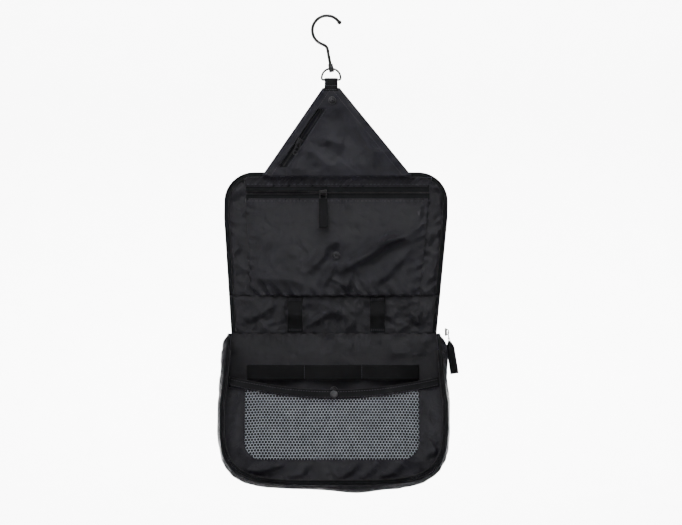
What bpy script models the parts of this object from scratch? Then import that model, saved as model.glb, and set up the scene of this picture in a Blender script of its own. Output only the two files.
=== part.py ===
"""Hanging toiletry bag, hung open from its swivel hook.

Metres, +Z up, front towards -Y. The origin is the inner top of the hook, where a rail carries it.
The flap, ring and hook lie in the plane Y = 0; the lid, the top panel and the back lie behind it.
"""

import math

import bmesh
import bpy
from mathutils import Matrix, Vector

MM = 0.001
GAP = 0.3 * MM  # air between pieces that touch on the real bag

# Hook, stirrup and D-ring
WIRE_R = 1.65 * MM
HOOK_INNER_R = 15.0 * MM
HOOK_TIP_DEG = 38.0  # where the bend ends, from +X
HOOK_TAIL_DEG = 250.0  # where the bend turns back into the shank
SHANK_LEAN = math.radians(11.0)
RING_X = 4.8 * MM
RING_TOP_Z = -58.9 * MM
RING_WIRE_R = 1.15 * MM
RING_HALF_W = 10.85 * MM
RING_BAR_Z = -71.9 * MM
STIRRUP_W = 6.0 * MM
STIRRUP_WINDOW = (6.4 * MM, 6.2 * MM)  # across Y, along the shank
STIRRUP_WALL = 1.8 * MM
STIRRUP_FLOOR = -2.5 * MM  # window floor, along the shank from the ring's top wire

# Flap
LOOP_W = 15.8 * MM
LOOP_BORE_R = 2.0 * MM
WEB_T = 1.3 * MM
FLAP_TOP_Z = -81.0 * MM
FLAP_FOLD_Z = -184.0 * MM
FLAP_TOP_HALF = 9.8 * MM
FLAP_BASE_X = (-76.0 * MM, 99.0 * MM)
SHEET_T = 1.2 * MM
FLAP_ZIP = ((-8.0 * MM, -107.5 * MM), (-49.5 * MM, -170.0 * MM))
FLAP_SLIDER_AT = 0.58  # share of the zip from its upper end
FLAP_SNAP = (6.0 * MM, -95.6 * MM)

# Lid, top panel and back share one stack of layers, front face first
BAG_X = 8.0 * MM
FACE_Y = 2.6 * MM
LID_TOP_Z = -178.0 * MM
LID_FOLD_Z = -319.8 * MM
TOP_FOLD_Z = -363.5 * MM
LID_CORNER_R = 34.0 * MM
LID_LEAN_X = 3.0 * MM
EDGE_BAND = 6.0 * MM
PIPING_R = 1.3 * MM
POCKET_TOP_X = (-94.9 * MM, 120.0 * MM)
POCKET_BASE_X = (-87.4 * MM, 107.0 * MM)
POCKET_TOP_Z = -189.5 * MM
LID_ZIP_Z = -201.4 * MM
LID_ZIP_HALF = 8.0 * MM  # from the zip's line to the edge of its visible tape
LID_SLIDER_X = -4.6 * MM
LID_SNAP = (10.5 * MM, -273.8 * MM)
TOOTHBRUSH_LOOP_X = (-36.6 * MM, 58.0 * MM)
TOOTHBRUSH_LOOP_W = 17.6 * MM

# Body: a wedge, narrow at the hinge and deep at the bottom
BODY_Z0 = -440.0 * MM  # where the straight sides turn into the rounded bottom
BACK_HALF, FRONT_HALF, SIDE_BULGE = 121.0 * MM, 127.0 * MM, 7.0 * MM
BACK_DROP, FRONT_DROP, BOTTOM_BULGE = 89.0 * MM, 90.0 * MM, 9.0 * MM
OUTLINE_POWER = 4.5
GUSSET_TOP_Z = -366.5 * MM
GUSSET_CORNER = (-27.0 * MM, -393.0 * MM)
GUSSET_FRONT = (-64.0 * MM, -524.0 * MM)
GUSSET_T = 2.0 * MM
PANEL_RECESS = 6.0 * MM
PANEL_HALF_TOP = 119.0 * MM
PANEL_INSET = 3.5 * MM  # from the gusset's edge to the front pocket's rim
BINDING_H = 9.2 * MM
BINDING_SIDE_Z, BINDING_MID_Z = -411.5 * MM, -427.5 * MM
WINDOW_X = (-93.0 * MM, 104.5 * MM)
WINDOW_BASE_Z = -504.0 * MM
WINDOW_CORNER_R = 20.0 * MM
BAND_Z = (-416.6 * MM, -399.2 * MM)
BAND_X = (-92.0 * MM, 106.0 * MM)
MAIN_SLIDER = (135.0 * MM, -6.0 * MM, -361.5 * MM)
MAIN_TAB_LEAN = 9.0  # degrees outwards, over the bulging side

# Snaps, as radius and height in millimetres from the middle of the top down to the cloth
SNAPS = {
    "cap": [(0, 1.8), (2.6, 1.5), (4.2, 0.8), (4.4, 0), (0, 0)],
    "stud": [(0, 2.6), (1.2, 2.5), (1.6, 2.0), (1.4, 1.2), (4.2, 1.0), (4.4, 0), (0, 0)],
    "socket": [(0, 0.7), (1.8, 0.7), (2.2, 2.0), (3.6, 1.7), (4.4, 0.6), (4.4, 0), (0, 0)],
}

# Zip hardware
SLIDER = (8.0 * MM, 9.0 * MM, 3.0 * MM)  # across, along and out of the zip
SLIDER_GROOVE_W = 3.2 * MM
PIN_HEIGHT = 3.75 * MM  # the puller's pin above the cloth
PIN_R = 0.5 * MM
RING = (7.0 * MM, 8.0 * MM)  # wire ring that carries a fabric tab
TAB_DROP = 8.8 * MM  # from the pin to the top of the tab
TAB_T = 1.6 * MM
COIL_HALF = 1.2 * MM

COLOURS = {
    "metal": ((0.03, 0.03, 0.032), 0.35, 0.8),
    "nylon": ((0.028, 0.027, 0.034), 0.55, 0.0),
    "webbing": ((0.012, 0.012, 0.014), 0.85, 0.0),
    "zip": ((0.014, 0.014, 0.017), 0.6, 0.0),
    "mesh": ((0.22, 0.25, 0.28), 0.7, 0.0),
    "snap": ((0.09, 0.09, 0.1), 0.4, 0.7),
}


# ------------------------------------------------------------------ scene helpers
def start():
    for old in list(bpy.data.objects):
        bpy.data.objects.remove(old, do_unlink=True)
    homes = []
    for name in ("hanging_toiletry_bag", "cutters"):
        homes.append(bpy.data.collections.new(name))
        bpy.context.scene.collection.children.link(homes[-1])
    return homes


PARTS, CUTTERS = start()


def finish_of(name):
    made = bpy.data.materials.get(name)
    if made:
        return made
    colour, roughness, metallic = COLOURS[name]
    made = bpy.data.materials.new(name)
    made.use_nodes = True
    shader = made.node_tree.nodes["Principled BSDF"]
    shader.inputs["Base Color"].default_value = (*colour, 1.0)
    shader.inputs["Roughness"].default_value = roughness
    shader.inputs["Metallic"].default_value = metallic
    return made


def add(name, data, finish, home=None):
    thing = bpy.data.objects.new(name, data)
    (home or PARTS).objects.link(thing)
    data.materials.append(finish_of(finish))
    return thing


def as_cutter(thing):
    thing.hide_render = True
    thing.display_type = "WIRE"
    return thing


def frame(origin, along_x, along_y):
    """The matrix of a local frame: its X and Y directions and their cross product."""
    x_axis = Vector(along_x).normalized()
    z_axis = x_axis.cross(Vector(along_y)).normalized()
    y_axis = z_axis.cross(x_axis)
    turn = Matrix((x_axis, y_axis, z_axis)).transposed().to_4x4()
    return Matrix.Translation(origin) @ turn


FRONTAL = ((1, 0, 0), (0, 0, 1))  # local X and Y of a piece seen from the front


def cube_mesh(name, size, bevel=0.0):
    mesh = bpy.data.meshes.new(name)
    bm = bmesh.new()
    bmesh.ops.create_cube(bm, size=1.0)
    bmesh.ops.scale(bm, vec=size, verts=bm.verts)
    if bevel:
        bmesh.ops.bevel(bm, geom=bm.edges, offset=bevel, segments=1, profile=0.5, affect="EDGES", material=-1)
    bm.to_mesh(mesh)
    bm.free()
    return mesh


def block(name, size, place, finish, home=None, bevel=0.0):
    thing = add(name, cube_mesh(name, size, bevel), finish, home)
    thing.matrix_world = place
    return thing


def flat(name, outlines, thickness, place, finish, home=None):
    """A plate from closed outlines in its local X and Y; inner outlines are holes."""
    curve = bpy.data.curves.new(name, "CURVE")
    curve.dimensions = "2D"
    curve.fill_mode = "BOTH"
    curve.extrude = thickness / 2
    for outline in outlines:
        spline = curve.splines.new("POLY")
        spline.points.add(len(outline) - 1)
        for point, (x, y) in zip(spline.points, outline):
            point.co = (x, y, 0, 1)
        spline.use_cyclic_u = True
    thing = add(name, curve, finish, home)
    thing.matrix_world = place
    return thing


def front_plate(name, outlines, y_front, finish, thickness=SHEET_T):
    """A plate seen from the front, its outlines in world X and Z and its front face at y_front."""
    return flat(name, outlines, thickness, frame((0, y_front + thickness / 2, 0), *FRONTAL), finish)


def tube(name, points, radius, finish, closed=False, sides=2):
    curve = bpy.data.curves.new(name, "CURVE")
    curve.dimensions = "3D"
    curve.bevel_depth = radius
    curve.bevel_resolution = sides
    curve.use_fill_caps = True
    spline = curve.splines.new("POLY")
    spline.points.add(len(points) - 1)
    for point, place in zip(spline.points, points):
        point.co = (*place, 1)
    spline.use_cyclic_u = closed
    return add(name, curve, finish)


def turned(name, profile, place, finish, steps=20):
    """A turned piece: the profile runs down its outer side as (radius, height) about local Z."""
    mesh = bpy.data.meshes.new(name)
    bm = bmesh.new()
    corners = [bm.verts.new((radius, 0, height)) for radius, height in profile]
    for first, second in zip(corners, corners[1:]):
        bm.edges.new((first, second))
    bm.to_mesh(mesh)
    bm.free()
    thing = add(name, mesh, finish)
    screw = thing.modifiers.new("turn", "SCREW")
    screw.steps = screw.render_steps = steps
    screw.use_merge_vertices = True
    screw.merge_threshold = 0.00005
    thing.matrix_world = place
    return thing


def sheet(name, columns, rows, place_of, thickness, finish, offset=0.0):
    """A curved sheet: place_of(u, v) puts each point of a grid, u and v from 0 to 1."""
    mesh = bpy.data.meshes.new(name)
    bm = bmesh.new()
    bmesh.ops.create_grid(bm, x_segments=columns, y_segments=rows, size=0.5)
    for vert in bm.verts:
        vert.co = place_of(vert.co.x + 0.5, vert.co.y + 0.5)
    bm.to_mesh(mesh)
    bm.free()
    thing = add(name, mesh, finish)
    wall = thing.modifiers.new("wall", "SOLIDIFY")
    wall.thickness = thickness
    wall.offset = offset
    wall.use_even_offset = True
    return thing


def boolean(thing, other, operation):
    cut = thing.modifiers.new(operation.lower(), "BOOLEAN")
    cut.operation = operation
    cut.object = other


def arc(centre, radius, start_deg, end_deg, steps):
    return [
        (
            centre[0] + radius * math.cos(math.radians(start_deg + (end_deg - start_deg) * i / steps)),
            centre[1] + radius * math.sin(math.radians(start_deg + (end_deg - start_deg) * i / steps)),
        )
        for i in range(steps + 1)
    ]


def blend(low, high, share):
    return low + (high - low) * share


# ------------------------------------------------------------------ hook, stirrup and ring
SHANK_UP = Vector((-math.sin(SHANK_LEAN), 0, math.cos(SHANK_LEAN)))
RING_TOP = Vector((RING_X, 0, RING_TOP_Z))


def on_shank(height):
    """A point on the shank's axis, measured up from the ring's top wire."""
    return RING_TOP + SHANK_UP * height


def shank_frame(height):
    return frame(on_shank(height), (math.cos(SHANK_LEAN), 0, math.sin(SHANK_LEAN)), (0, 1, 0))


def hook_parts():
    bend_r = HOOK_INNER_R + WIRE_R
    bend = arc((0, -HOOK_INNER_R), bend_r, HOOK_TIP_DEG, HOOK_TAIL_DEG, 26)
    points = [Vector((x, 0, z)) for x, z in bend]
    tail_dir = (points[-1] - points[-2]).normalized()
    window_top = STIRRUP_FLOOR + STIRRUP_WINDOW[1]
    shank_top = on_shank(15.0 * MM)
    reach = 8.0 * MM
    for i in range(1, 8):
        t = i / 8
        spread = (
            points[26] * (1 - t) ** 3
            + (points[26] + tail_dir * reach) * 3 * t * (1 - t) ** 2
            + (shank_top + SHANK_UP * reach) * 3 * t * t * (1 - t)
            + shank_top * t**3
        )
        points.append(spread)
    points += [shank_top, on_shank(window_top)]
    tube("hook", points, WIRE_R, "metal", sides=2)

    tip_dir = (points[0] - points[1]).normalized()
    tip = points[0] + tip_dir * (2.6 * MM + GAP)
    place = frame(tip, tip_dir.orthogonal(), tip_dir.cross(tip_dir.orthogonal()))
    ball = [(0, 2.6), (1.5, 2.2), (2.4, 1.1), (2.6, 0), (2.4, -1.3), (2.0, -2.6), (0, -2.6)]
    turned("hook_tip", [(r * MM, h * MM) for r, h in ball], place, "metal", steps=14)

    head = [(0, 1.7), (2.4, 1.7), (2.7, 1.2), (2.7, 0.4), (2.2, 0), (0, 0)]
    place = shank_frame(window_top - GAP - 1.7 * MM)
    turned("shank_rivet", [(r * MM, h * MM) for r, h in head], place, "metal", steps=16)


def stirrup():
    across, tall = STIRRUP_WINDOW
    middle = shank_frame(STIRRUP_FLOOR + tall / 2)
    outer = (STIRRUP_W, across + 2 * STIRRUP_WALL, tall + 2 * STIRRUP_WALL)
    body = block("swivel_stirrup", outer, middle, "metal", bevel=0.8 * MM)
    window = block("stirrup_window", (2 * STIRRUP_W, across, tall), middle, "metal", CUTTERS)
    boolean(body, as_cutter(window), "DIFFERENCE")
    bore_len = 6.0 * MM
    mesh = bpy.data.meshes.new("stirrup_bore")
    bm = bmesh.new()
    radius = WIRE_R + 0.4 * MM
    bmesh.ops.create_cone(bm, cap_ends=True, segments=16, radius1=radius, radius2=radius, depth=bore_len)
    bm.to_mesh(mesh)
    bm.free()
    bore = add("stirrup_bore", mesh, "metal", CUTTERS)
    bore.matrix_world = shank_frame(STIRRUP_FLOOR + tall + 1.0 * MM)
    boolean(body, as_cutter(bore), "DIFFERENCE")


def d_ring():
    arch_z = RING_TOP_Z - RING_HALF_W
    corner = 2.0 * MM
    left, right = RING_X - RING_HALF_W, RING_X + RING_HALF_W
    path = arc((RING_X, arch_z), RING_HALF_W, 0, 180, 16)
    path += arc((left + corner, RING_BAR_Z + corner), corner, 180, 270, 3)
    path += arc((right - corner, RING_BAR_Z + corner), corner, 270, 360, 3)
    tube("d_ring", [(x, 0, z) for x, z in path], RING_WIRE_R, "metal", closed=True, sides=2)


# ------------------------------------------------------------------ zip hardware
def slider(name, place, finish, channel_deg=None):
    """A zip slider in its own frame: local X along the puller's pin, local Z out of the cloth."""
    body = block(name, SLIDER, place @ Matrix.Translation((0, 0, SLIDER[2] / 2)), finish, bevel=0.6 * MM)
    if channel_deg is not None:
        turn = Matrix.Rotation(math.radians(channel_deg), 4, "Z")
        groove = (20.0 * MM, SLIDER_GROOVE_W, SLIDER[2])
        cutter = block(name + "_groove", groove, place @ turn, finish, CUTTERS)
        boolean(body, as_cutter(cutter), "DIFFERENCE")
    lug_at = place @ Matrix.Translation((0, 0, SLIDER[2] + 1.0 * MM))
    lug = block(name + "_lug", (1.8 * MM, 5.0 * MM, 2.6 * MM), lug_at, finish, CUTTERS)
    boolean(body, as_cutter(lug), "UNION")
    eye_at = place @ Matrix.Translation((0, 0, SLIDER[2] + 0.75 * MM))
    eye = block(name + "_eye", (6.0 * MM, 2.4 * MM, 1.5 * MM), eye_at, finish, CUTTERS)
    boolean(body, as_cutter(eye), "DIFFERENCE")
    return body


def pin_frame(place, lean_deg=0.0):
    """The puller's frame on its pin, with its lower end leaning away from the cloth."""
    return place @ Matrix.Translation((0, 0, PIN_HEIGHT)) @ Matrix.Rotation(math.radians(-lean_deg), 4, "X")


def puller_ring(name, pin, width, length, finish):
    """A wire ring hung from a slider's eye, its origin on the pin and its length down local -Y."""
    half, round_r = width / 2, 1.2 * MM
    path = arc((half - round_r, -round_r), round_r, 90, 0, 3)
    path += arc((half - round_r, -length + round_r), round_r, 0, -90, 3)
    path += arc((-half + round_r, -length + round_r), round_r, -90, -180, 3)
    path += arc((-half + round_r, -round_r), round_r, 180, 90, 3)
    ring = tube(name, [(x, y, 0) for x, y in path], PIN_R, finish, closed=True, sides=1)
    ring.matrix_world = pin
    return ring


def tab(name, pin, width, top, length, finish):
    """A folded fabric tab below a puller ring, stitched shut under the ring's lower wire."""
    half = width / 2
    outline = [(-half, -top), (-half, -top - length), (half, -top - length), (half, -top)]
    return flat(name, [outline], TAB_T, pin, finish)


# ------------------------------------------------------------------ snaps
def snap(name, x, z, y_face, outward, kind):
    """A press stud: outward is -1 towards the front and 1 towards the back."""
    snap_at(name, frame((x, y_face + outward * GAP, z), (1, 0, 0), (0, 0, -outward)), kind)


def snap_at(name, place, kind):
    """A press stud whose foot lies on the local XY plane."""
    turned(name, [(r * MM, h * MM) for r, h in SNAPS[kind]], place, "snap", steps=16)


# ------------------------------------------------------------------ flap
def strip_corners(start, end, half_width, extra=0.0):
    """The four corners of a straight strip between two points in the plane."""
    a, b = Vector(start), Vector(end)
    along = (b - a).normalized()
    across = Vector((-along.y, along.x)) * half_width
    a, b = a - along * extra, b + along * extra
    return [tuple(a + across), tuple(b + across), tuple(b - across), tuple(a - across)]


def flap_outline(inset=0.0):
    low, high = FLAP_FOLD_Z + GAP, FLAP_TOP_Z
    left, right = FLAP_BASE_X
    return [
        (left + inset, low),
        (right - inset, low),
        (RING_X + FLAP_TOP_HALF - inset, high - inset),
        (RING_X - FLAP_TOP_HALF + inset, high - inset),
    ]


def flap_point(share):
    upper, lower = FLAP_ZIP
    return blend(upper[0], lower[0], share), blend(upper[1], lower[1], share)


def webbing_loop():
    outer_r = LOOP_BORE_R + WEB_T
    outer = arc((0, RING_BAR_Z), outer_r, -20, 200, 12)
    outer += [(-WEB_T - 0.2 * MM, RING_BAR_Z - 6.0 * MM), (-WEB_T - 0.2 * MM, FLAP_TOP_Z + GAP)]
    outer += [(WEB_T + 0.2 * MM, FLAP_TOP_Z + GAP), (WEB_T + 0.2 * MM, RING_BAR_Z - 6.0 * MM)]
    bore = arc((0, RING_BAR_Z), LOOP_BORE_R, -20, 200, 10) + [(0, RING_BAR_Z - 4.0 * MM)]
    place = frame((RING_X, 0, 0), (0, 1, 0), (0, 0, 1))
    flat("webbing_loop", [outer, bore], LOOP_W, place, "webbing")


def flap_parts():
    slot = strip_corners(*FLAP_ZIP, 4.0 * MM, 2.0 * MM)
    front_y = -SHEET_T - GAP / 2
    front_plate("flap_front", [flap_outline(), slot], front_y, "nylon")
    front_plate("flap_back", [flap_outline()], GAP / 2, "nylon")
    tape = strip_corners(*FLAP_ZIP, 4.0 * MM - GAP, 2.0 * MM - GAP)
    front_plate("flap_zip_tape", [tape], front_y + 0.2 * MM, "zip", 0.9 * MM)
    coil = strip_corners(*FLAP_ZIP, COIL_HALF)
    front_plate("flap_zip_coil", [coil], front_y - 1.2 * MM, "zip", 1.1 * MM)
    snap("flap_snap_stud", *FLAP_SNAP, front_y, -1, "stud")
    snap("flap_snap_cap", *FLAP_SNAP, SHEET_T + GAP / 2, 1, "cap")

    x, z = flap_point(FLAP_SLIDER_AT)
    (ax, az), (bx, bz) = FLAP_ZIP
    up = Vector((ax - bx, 0, az - bz)).normalized()
    across = Vector((up.z, 0, -up.x))
    place = frame((x, front_y - 0.25 * MM, z), across, up)
    slider("flap_zip_slider", place, "metal", channel_deg=90)
    puller_ring("flap_zip_puller", pin_frame(place), 4.6 * MM, 15.0 * MM, "metal")


# ------------------------------------------------------------------ lid
def lid_side(z, side):
    """The lid's outer edge at a height, where side is -1 for the left and 1 for the right."""
    rise = (z - TOP_FOLD_Z) / (LID_TOP_Z - TOP_FOLD_Z)
    half = blend(118.0 * MM, 128.5 * MM, min(1.0, rise / 0.72))
    return BAG_X + LID_LEAN_X * rise + side * half


def lid_edge(inset, low_z):
    """The lid's edge from its lower left corner over the top to its lower right corner."""
    top = LID_TOP_Z - inset
    radius = LID_CORNER_R - inset
    turn_z = top - radius
    left, right = lid_side(turn_z, -1) + inset, lid_side(turn_z, 1) - inset
    path = [(lid_side(low_z, -1) + inset, low_z)]
    path.append((lid_side(blend(low_z, turn_z, 0.5), -1) + inset, blend(low_z, turn_z, 0.5)))
    path += arc((left + radius, turn_z), radius, 180, 90, 7)
    path += arc((right - radius, turn_z), radius, 90, 0, 7)
    path.append((lid_side(blend(low_z, turn_z, 0.5), 1) - inset, blend(low_z, turn_z, 0.5)))
    path.append((lid_side(low_z, 1) - inset, low_z))
    return path


def pocket_x(z, side):
    share = (z - POCKET_TOP_Z) / (LID_FOLD_Z - POCKET_TOP_Z)
    return blend(POCKET_TOP_X[side], POCKET_BASE_X[side], share)


def pocket_strip(high, low):
    return [(pocket_x(low, 0), low), (pocket_x(low, 1), low), (pocket_x(high, 1), high), (pocket_x(high, 0), high)]


def lid_parts():
    low = LID_FOLD_Z + GAP
    inner = 2 * PIPING_R + GAP
    panel = lid_edge(inner + EDGE_BAND + GAP, low)
    layer = SHEET_T + GAP
    front_plate("lid_lining", [panel], FACE_Y + layer, "nylon", 1.0 * MM)
    front_plate("lid_outer", [panel], FACE_Y + layer + 1.3 * MM, "nylon", 1.3 * MM)
    band = lid_edge(inner, low) + lid_edge(inner + EDGE_BAND, low)[::-1]
    front_plate("lid_edge_zip_tape", [band], FACE_Y + layer, "zip", 1.8 * MM)
    rim = [(x, FACE_Y + layer + 0.9 * MM, z) for x, z in lid_edge(PIPING_R, low)]
    tube("lid_piping", rim, PIPING_R, "webbing", sides=1)

    front_plate("lid_pocket_header", [pocket_strip(POCKET_TOP_Z, LID_ZIP_Z + LID_ZIP_HALF + GAP)], FACE_Y, "nylon")
    tape = pocket_strip(LID_ZIP_Z + LID_ZIP_HALF, LID_ZIP_Z - LID_ZIP_HALF)
    front_plate("lid_zip_tape", [tape], FACE_Y + 0.2 * MM, "zip", 0.9 * MM)
    front_plate("lid_pocket_panel", [pocket_strip(LID_ZIP_Z - LID_ZIP_HALF - GAP, low)], FACE_Y, "nylon")
    ends = [(POCKET_TOP_X[0] + 3.0 * MM, LID_ZIP_Z), (POCKET_TOP_X[1] - 3.0 * MM, LID_ZIP_Z)]
    coil = strip_corners(*ends, COIL_HALF)
    front_plate("lid_zip_coil", [coil], FACE_Y - 1.2 * MM, "zip", 1.1 * MM)
    snap("lid_snap_socket", *LID_SNAP, FACE_Y, -1, "socket")

    place = frame((LID_SLIDER_X, FACE_Y - 0.25 * MM, LID_ZIP_Z), *FRONTAL)
    slider("lid_zip_slider", place, "metal", channel_deg=0)
    pin = pin_frame(place)
    puller_ring("lid_zip_puller", pin, *RING, "metal")
    tab("lid_pull_tab", pin, 10.0 * MM, TAB_DROP, 33.0 * MM, "webbing")


# ------------------------------------------------------------------ top panel
def top_parts():
    high, low = LID_FOLD_Z - GAP, TOP_FOLD_Z + GAP

    def across(inset):
        return [
            (lid_side(low, -1) + inset, low),
            (lid_side(low, 1) - inset, low),
            (lid_side(high, 1) - inset, high),
            (lid_side(high, -1) + inset, high),
        ]

    front_plate("top_lining", [across(EDGE_BAND + GAP)], FACE_Y, "nylon")
    front_plate("top_panel", [across(EDGE_BAND + GAP)], FACE_Y + SHEET_T + GAP, "nylon", 2.4 * MM)
    for side, label in ((-1, "left"), (1, "right")):
        outer, inner = lid_side(low, side), lid_side(high, side)
        edge = [(outer, low), (inner, high), (inner - side * EDGE_BAND, high), (outer - side * EDGE_BAND, low)]
        front_plate(f"top_zip_tape_{label}", [edge], FACE_Y + SHEET_T + GAP, "zip", 2.0 * MM)
    for x, label in zip(TOOTHBRUSH_LOOP_X, ("left", "right")):
        bowed_strip(f"toothbrush_loop_{label}", x, high - 1.5 * MM, low + 1.5 * MM, 6.0 * MM)


def bowed_strip(name, x, high, low, bow):
    """An upright elastic strip sewn at both ends, with room for a handle behind its middle."""

    def place_of(u, v):
        lift = bow * max(0.0, math.sin(math.pi * (v - 0.12) / 0.76)) if 0.12 < v < 0.88 else 0.0
        return x + (u - 0.5) * TOOTHBRUSH_LOOP_W, FACE_Y - 0.9 * MM - lift, blend(low, high, v)

    return sheet(name, 1, 12, place_of, 1.0 * MM, "webbing")


# ------------------------------------------------------------------ body
def front_y(z):
    """The gusset's front edge: out from the hinge to the corner, then down the sloping front."""
    corner_y, corner_z = GUSSET_CORNER
    base_y, base_z = GUSSET_FRONT
    if z > corner_z:
        share = (GUSSET_TOP_Z - z) / (GUSSET_TOP_Z - corner_z)
        return blend(-2.0 * MM, corner_y, max(0.0, share))
    return blend(corner_y, base_y, min(1.0, (corner_z - z) / (corner_z - base_z)))


def body_outline(turn, depth, inset=0.0, top_z=GUSSET_TOP_Z):
    """A point of the body's outline from its left top corner (turn 0) round to the right (turn 1).

    depth runs from 0 at the back edge to 1 at the front edge.
    """
    swell = 4 * depth * (1 - depth)
    half = blend(BACK_HALF, FRONT_HALF, depth) + SIDE_BULGE * swell - inset
    drop = blend(BACK_DROP, FRONT_DROP, depth) + BOTTOM_BULGE * swell - inset
    straight = 0.22
    if turn < straight or turn > 1 - straight:
        share = turn / straight if turn < straight else (1 - turn) / straight
        side = -1 if turn < straight else 1
        z = blend(top_z, BODY_Z0, share)
        slim = 7.0 * MM * depth * (1 - share) ** 0.7
        return BAG_X + side * (half - slim), z
    angle = math.pi + math.pi * (turn - straight) / (1 - 2 * straight)
    ca, sa = math.cos(angle), math.sin(angle)
    power = 2 / OUTLINE_POWER
    x = BAG_X + math.copysign(abs(ca) ** power, ca) * half
    z = BODY_Z0 - abs(sa) ** power * drop
    return x, z


def gusset_point(turn, depth):
    x, z = body_outline(turn, depth)
    y_back = FACE_Y - GAP - 1.0 * MM
    return x, blend(y_back, front_y(z), depth), z


def edge_path(outset, ahead, steps=46):
    """Points along the gusset's front edge, moved outwards and forwards."""
    points = []
    for i in range(steps + 1):
        x, z = body_outline(i / steps, 1.0, -outset)
        points.append((x, front_y(z) - ahead, z))
    return points


def slope_frame():
    """The plane just behind the gusset's sloping front edge, its local X and Y in that plane."""
    corner_y, corner_z = GUSSET_CORNER
    base_y, base_z = GUSSET_FRONT
    up = Vector((0, corner_y - base_y, corner_z - base_z)).normalized()
    outward = Vector((1, 0, 0)).cross(up)
    origin = Vector((0, base_y, base_z)) - outward * PANEL_RECESS
    return frame(origin, (1, 0, 0), up), up.z


def on_slope(z, scale):
    """A height in the world as a distance up the sloping front."""
    return (z - GUSSET_FRONT[1]) / scale


def binding_z(x):
    """The sagging upper edge of the front pocket."""
    share = (x - BAG_X) / PANEL_HALF_TOP
    return blend(BINDING_MID_Z, BINDING_SIDE_Z, min(1.0, share * share))


def across_top(inset, drop, steps=12):
    """The pocket's upper edge from right to left, lowered by drop."""
    points = []
    for i in range(steps + 1):
        x = blend(BAG_X + PANEL_HALF_TOP - inset, BAG_X - PANEL_HALF_TOP + inset, i / steps)
        points.append((x, binding_z(x) - drop))
    return points


def front_pocket():
    place, scale = slope_frame()

    def plane(points):
        return [(x, on_slope(z, scale)) for x, z in points]

    steps = 30
    first = 0.165  # the turn of the outline that lies just below the binding
    rim = [body_outline(blend(first, 1 - first, i / steps), 1.0, PANEL_INSET) for i in range(steps + 1)]
    rim += across_top(0.0, BINDING_H + GAP)
    hole = window_outline(0.0)
    flat("front_panel", [plane(rim), plane(hole)], SHEET_T, place, "nylon")
    flat("mesh_window", [plane(window_outline(GAP))], 0.8 * MM, place, "mesh")
    band = across_top(0.0, 0.0) + across_top(0.0, BINDING_H)[::-1]
    flat("front_binding", [plane(band)], 2.2 * MM, place, "webbing")
    snap_x = BAG_X
    snap_z = BINDING_MID_Z - BINDING_H / 2
    at = place @ Matrix.Translation((snap_x, on_slope(snap_z, scale), 1.1 * MM + GAP))
    snap_at("front_snap_cap", at, "cap")
    back = Matrix.Rotation(math.pi, 4, "X")
    at = place @ Matrix.Translation((snap_x, on_slope(snap_z, scale), -1.1 * MM - GAP)) @ back
    snap_at("front_snap_stud", at, "stud")


def window_outline(inset):
    left, right = WINDOW_X[0] + inset, WINDOW_X[1] - inset
    low = WINDOW_BASE_Z + inset
    radius = WINDOW_CORNER_R - inset
    path = arc((left + radius, low + radius), radius, 180, 270, 4)
    path += arc((right - radius, low + radius), radius, 270, 360, 4)
    steps = 8
    for i in range(steps + 1):
        x = blend(right, left, i / steps)
        path.append((x, binding_z(x) - BINDING_H - 4.0 * MM - inset))
    return path


def body_parts():
    steps = 36
    rim = [body_outline(i / steps, 0.0, 0.0, TOP_FOLD_Z - GAP) for i in range(steps + 1)]
    front_plate("back_lining", [rim], FACE_Y, "nylon")
    front_plate("back_panel", [rim], FACE_Y + SHEET_T + GAP, "nylon", 2.4 * MM)
    sheet("gusset", 40, 5, gusset_point, GUSSET_T, "nylon", offset=0.0)
    tube("body_zip_coil", edge_path(-1.0 * MM, 3.2 * MM), 1.2 * MM, "zip", sides=1)
    tube("body_piping", edge_path(2.0 * MM, 3.0 * MM), 1.2 * MM, "webbing", sides=1)
    front_pocket()
    bowed_band()
    socket_z = BAND_Z[0] - 12.0 * MM
    snap("back_snap_socket", BAG_X, socket_z, FACE_Y, -1, "socket")


def bowed_band():
    """The elastic band across the back, sewn at four places so that it makes three loops."""
    bow = 7.0 * MM

    def place_of(u, v):
        lift = bow * math.sin(math.pi * ((u * 3) % 1.0)) if 0 < u < 1 else 0.0
        return blend(*BAND_X, u), FACE_Y - 0.9 * MM - lift, blend(*BAND_Z, v)

    sheet("elastic_band", 24, 1, place_of, 1.0 * MM, "webbing")


def main_slider():
    place = frame(MAIN_SLIDER, (0, 1, 0), (0, 0, 1))
    slider("main_zip_slider", place, "metal")
    pin = pin_frame(place, MAIN_TAB_LEAN)
    puller_ring("main_zip_puller", pin, *RING, "metal")
    tab("main_pull_tab", pin, 9.5 * MM, TAB_DROP, 41.0 * MM, "webbing")


hook_parts()
stirrup()
d_ring()
webbing_loop()
flap_parts()
lid_parts()
top_parts()
body_parts()
main_slider()
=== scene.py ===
"""The finished look of a hanging toiletry bag: cloth, zips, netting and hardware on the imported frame."""

import logging
import math
from dataclasses import dataclass, field
from enum import Enum
from typing import Callable, Sequence

import bmesh
import bpy
from mathutils import Matrix, Vector, noise


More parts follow.
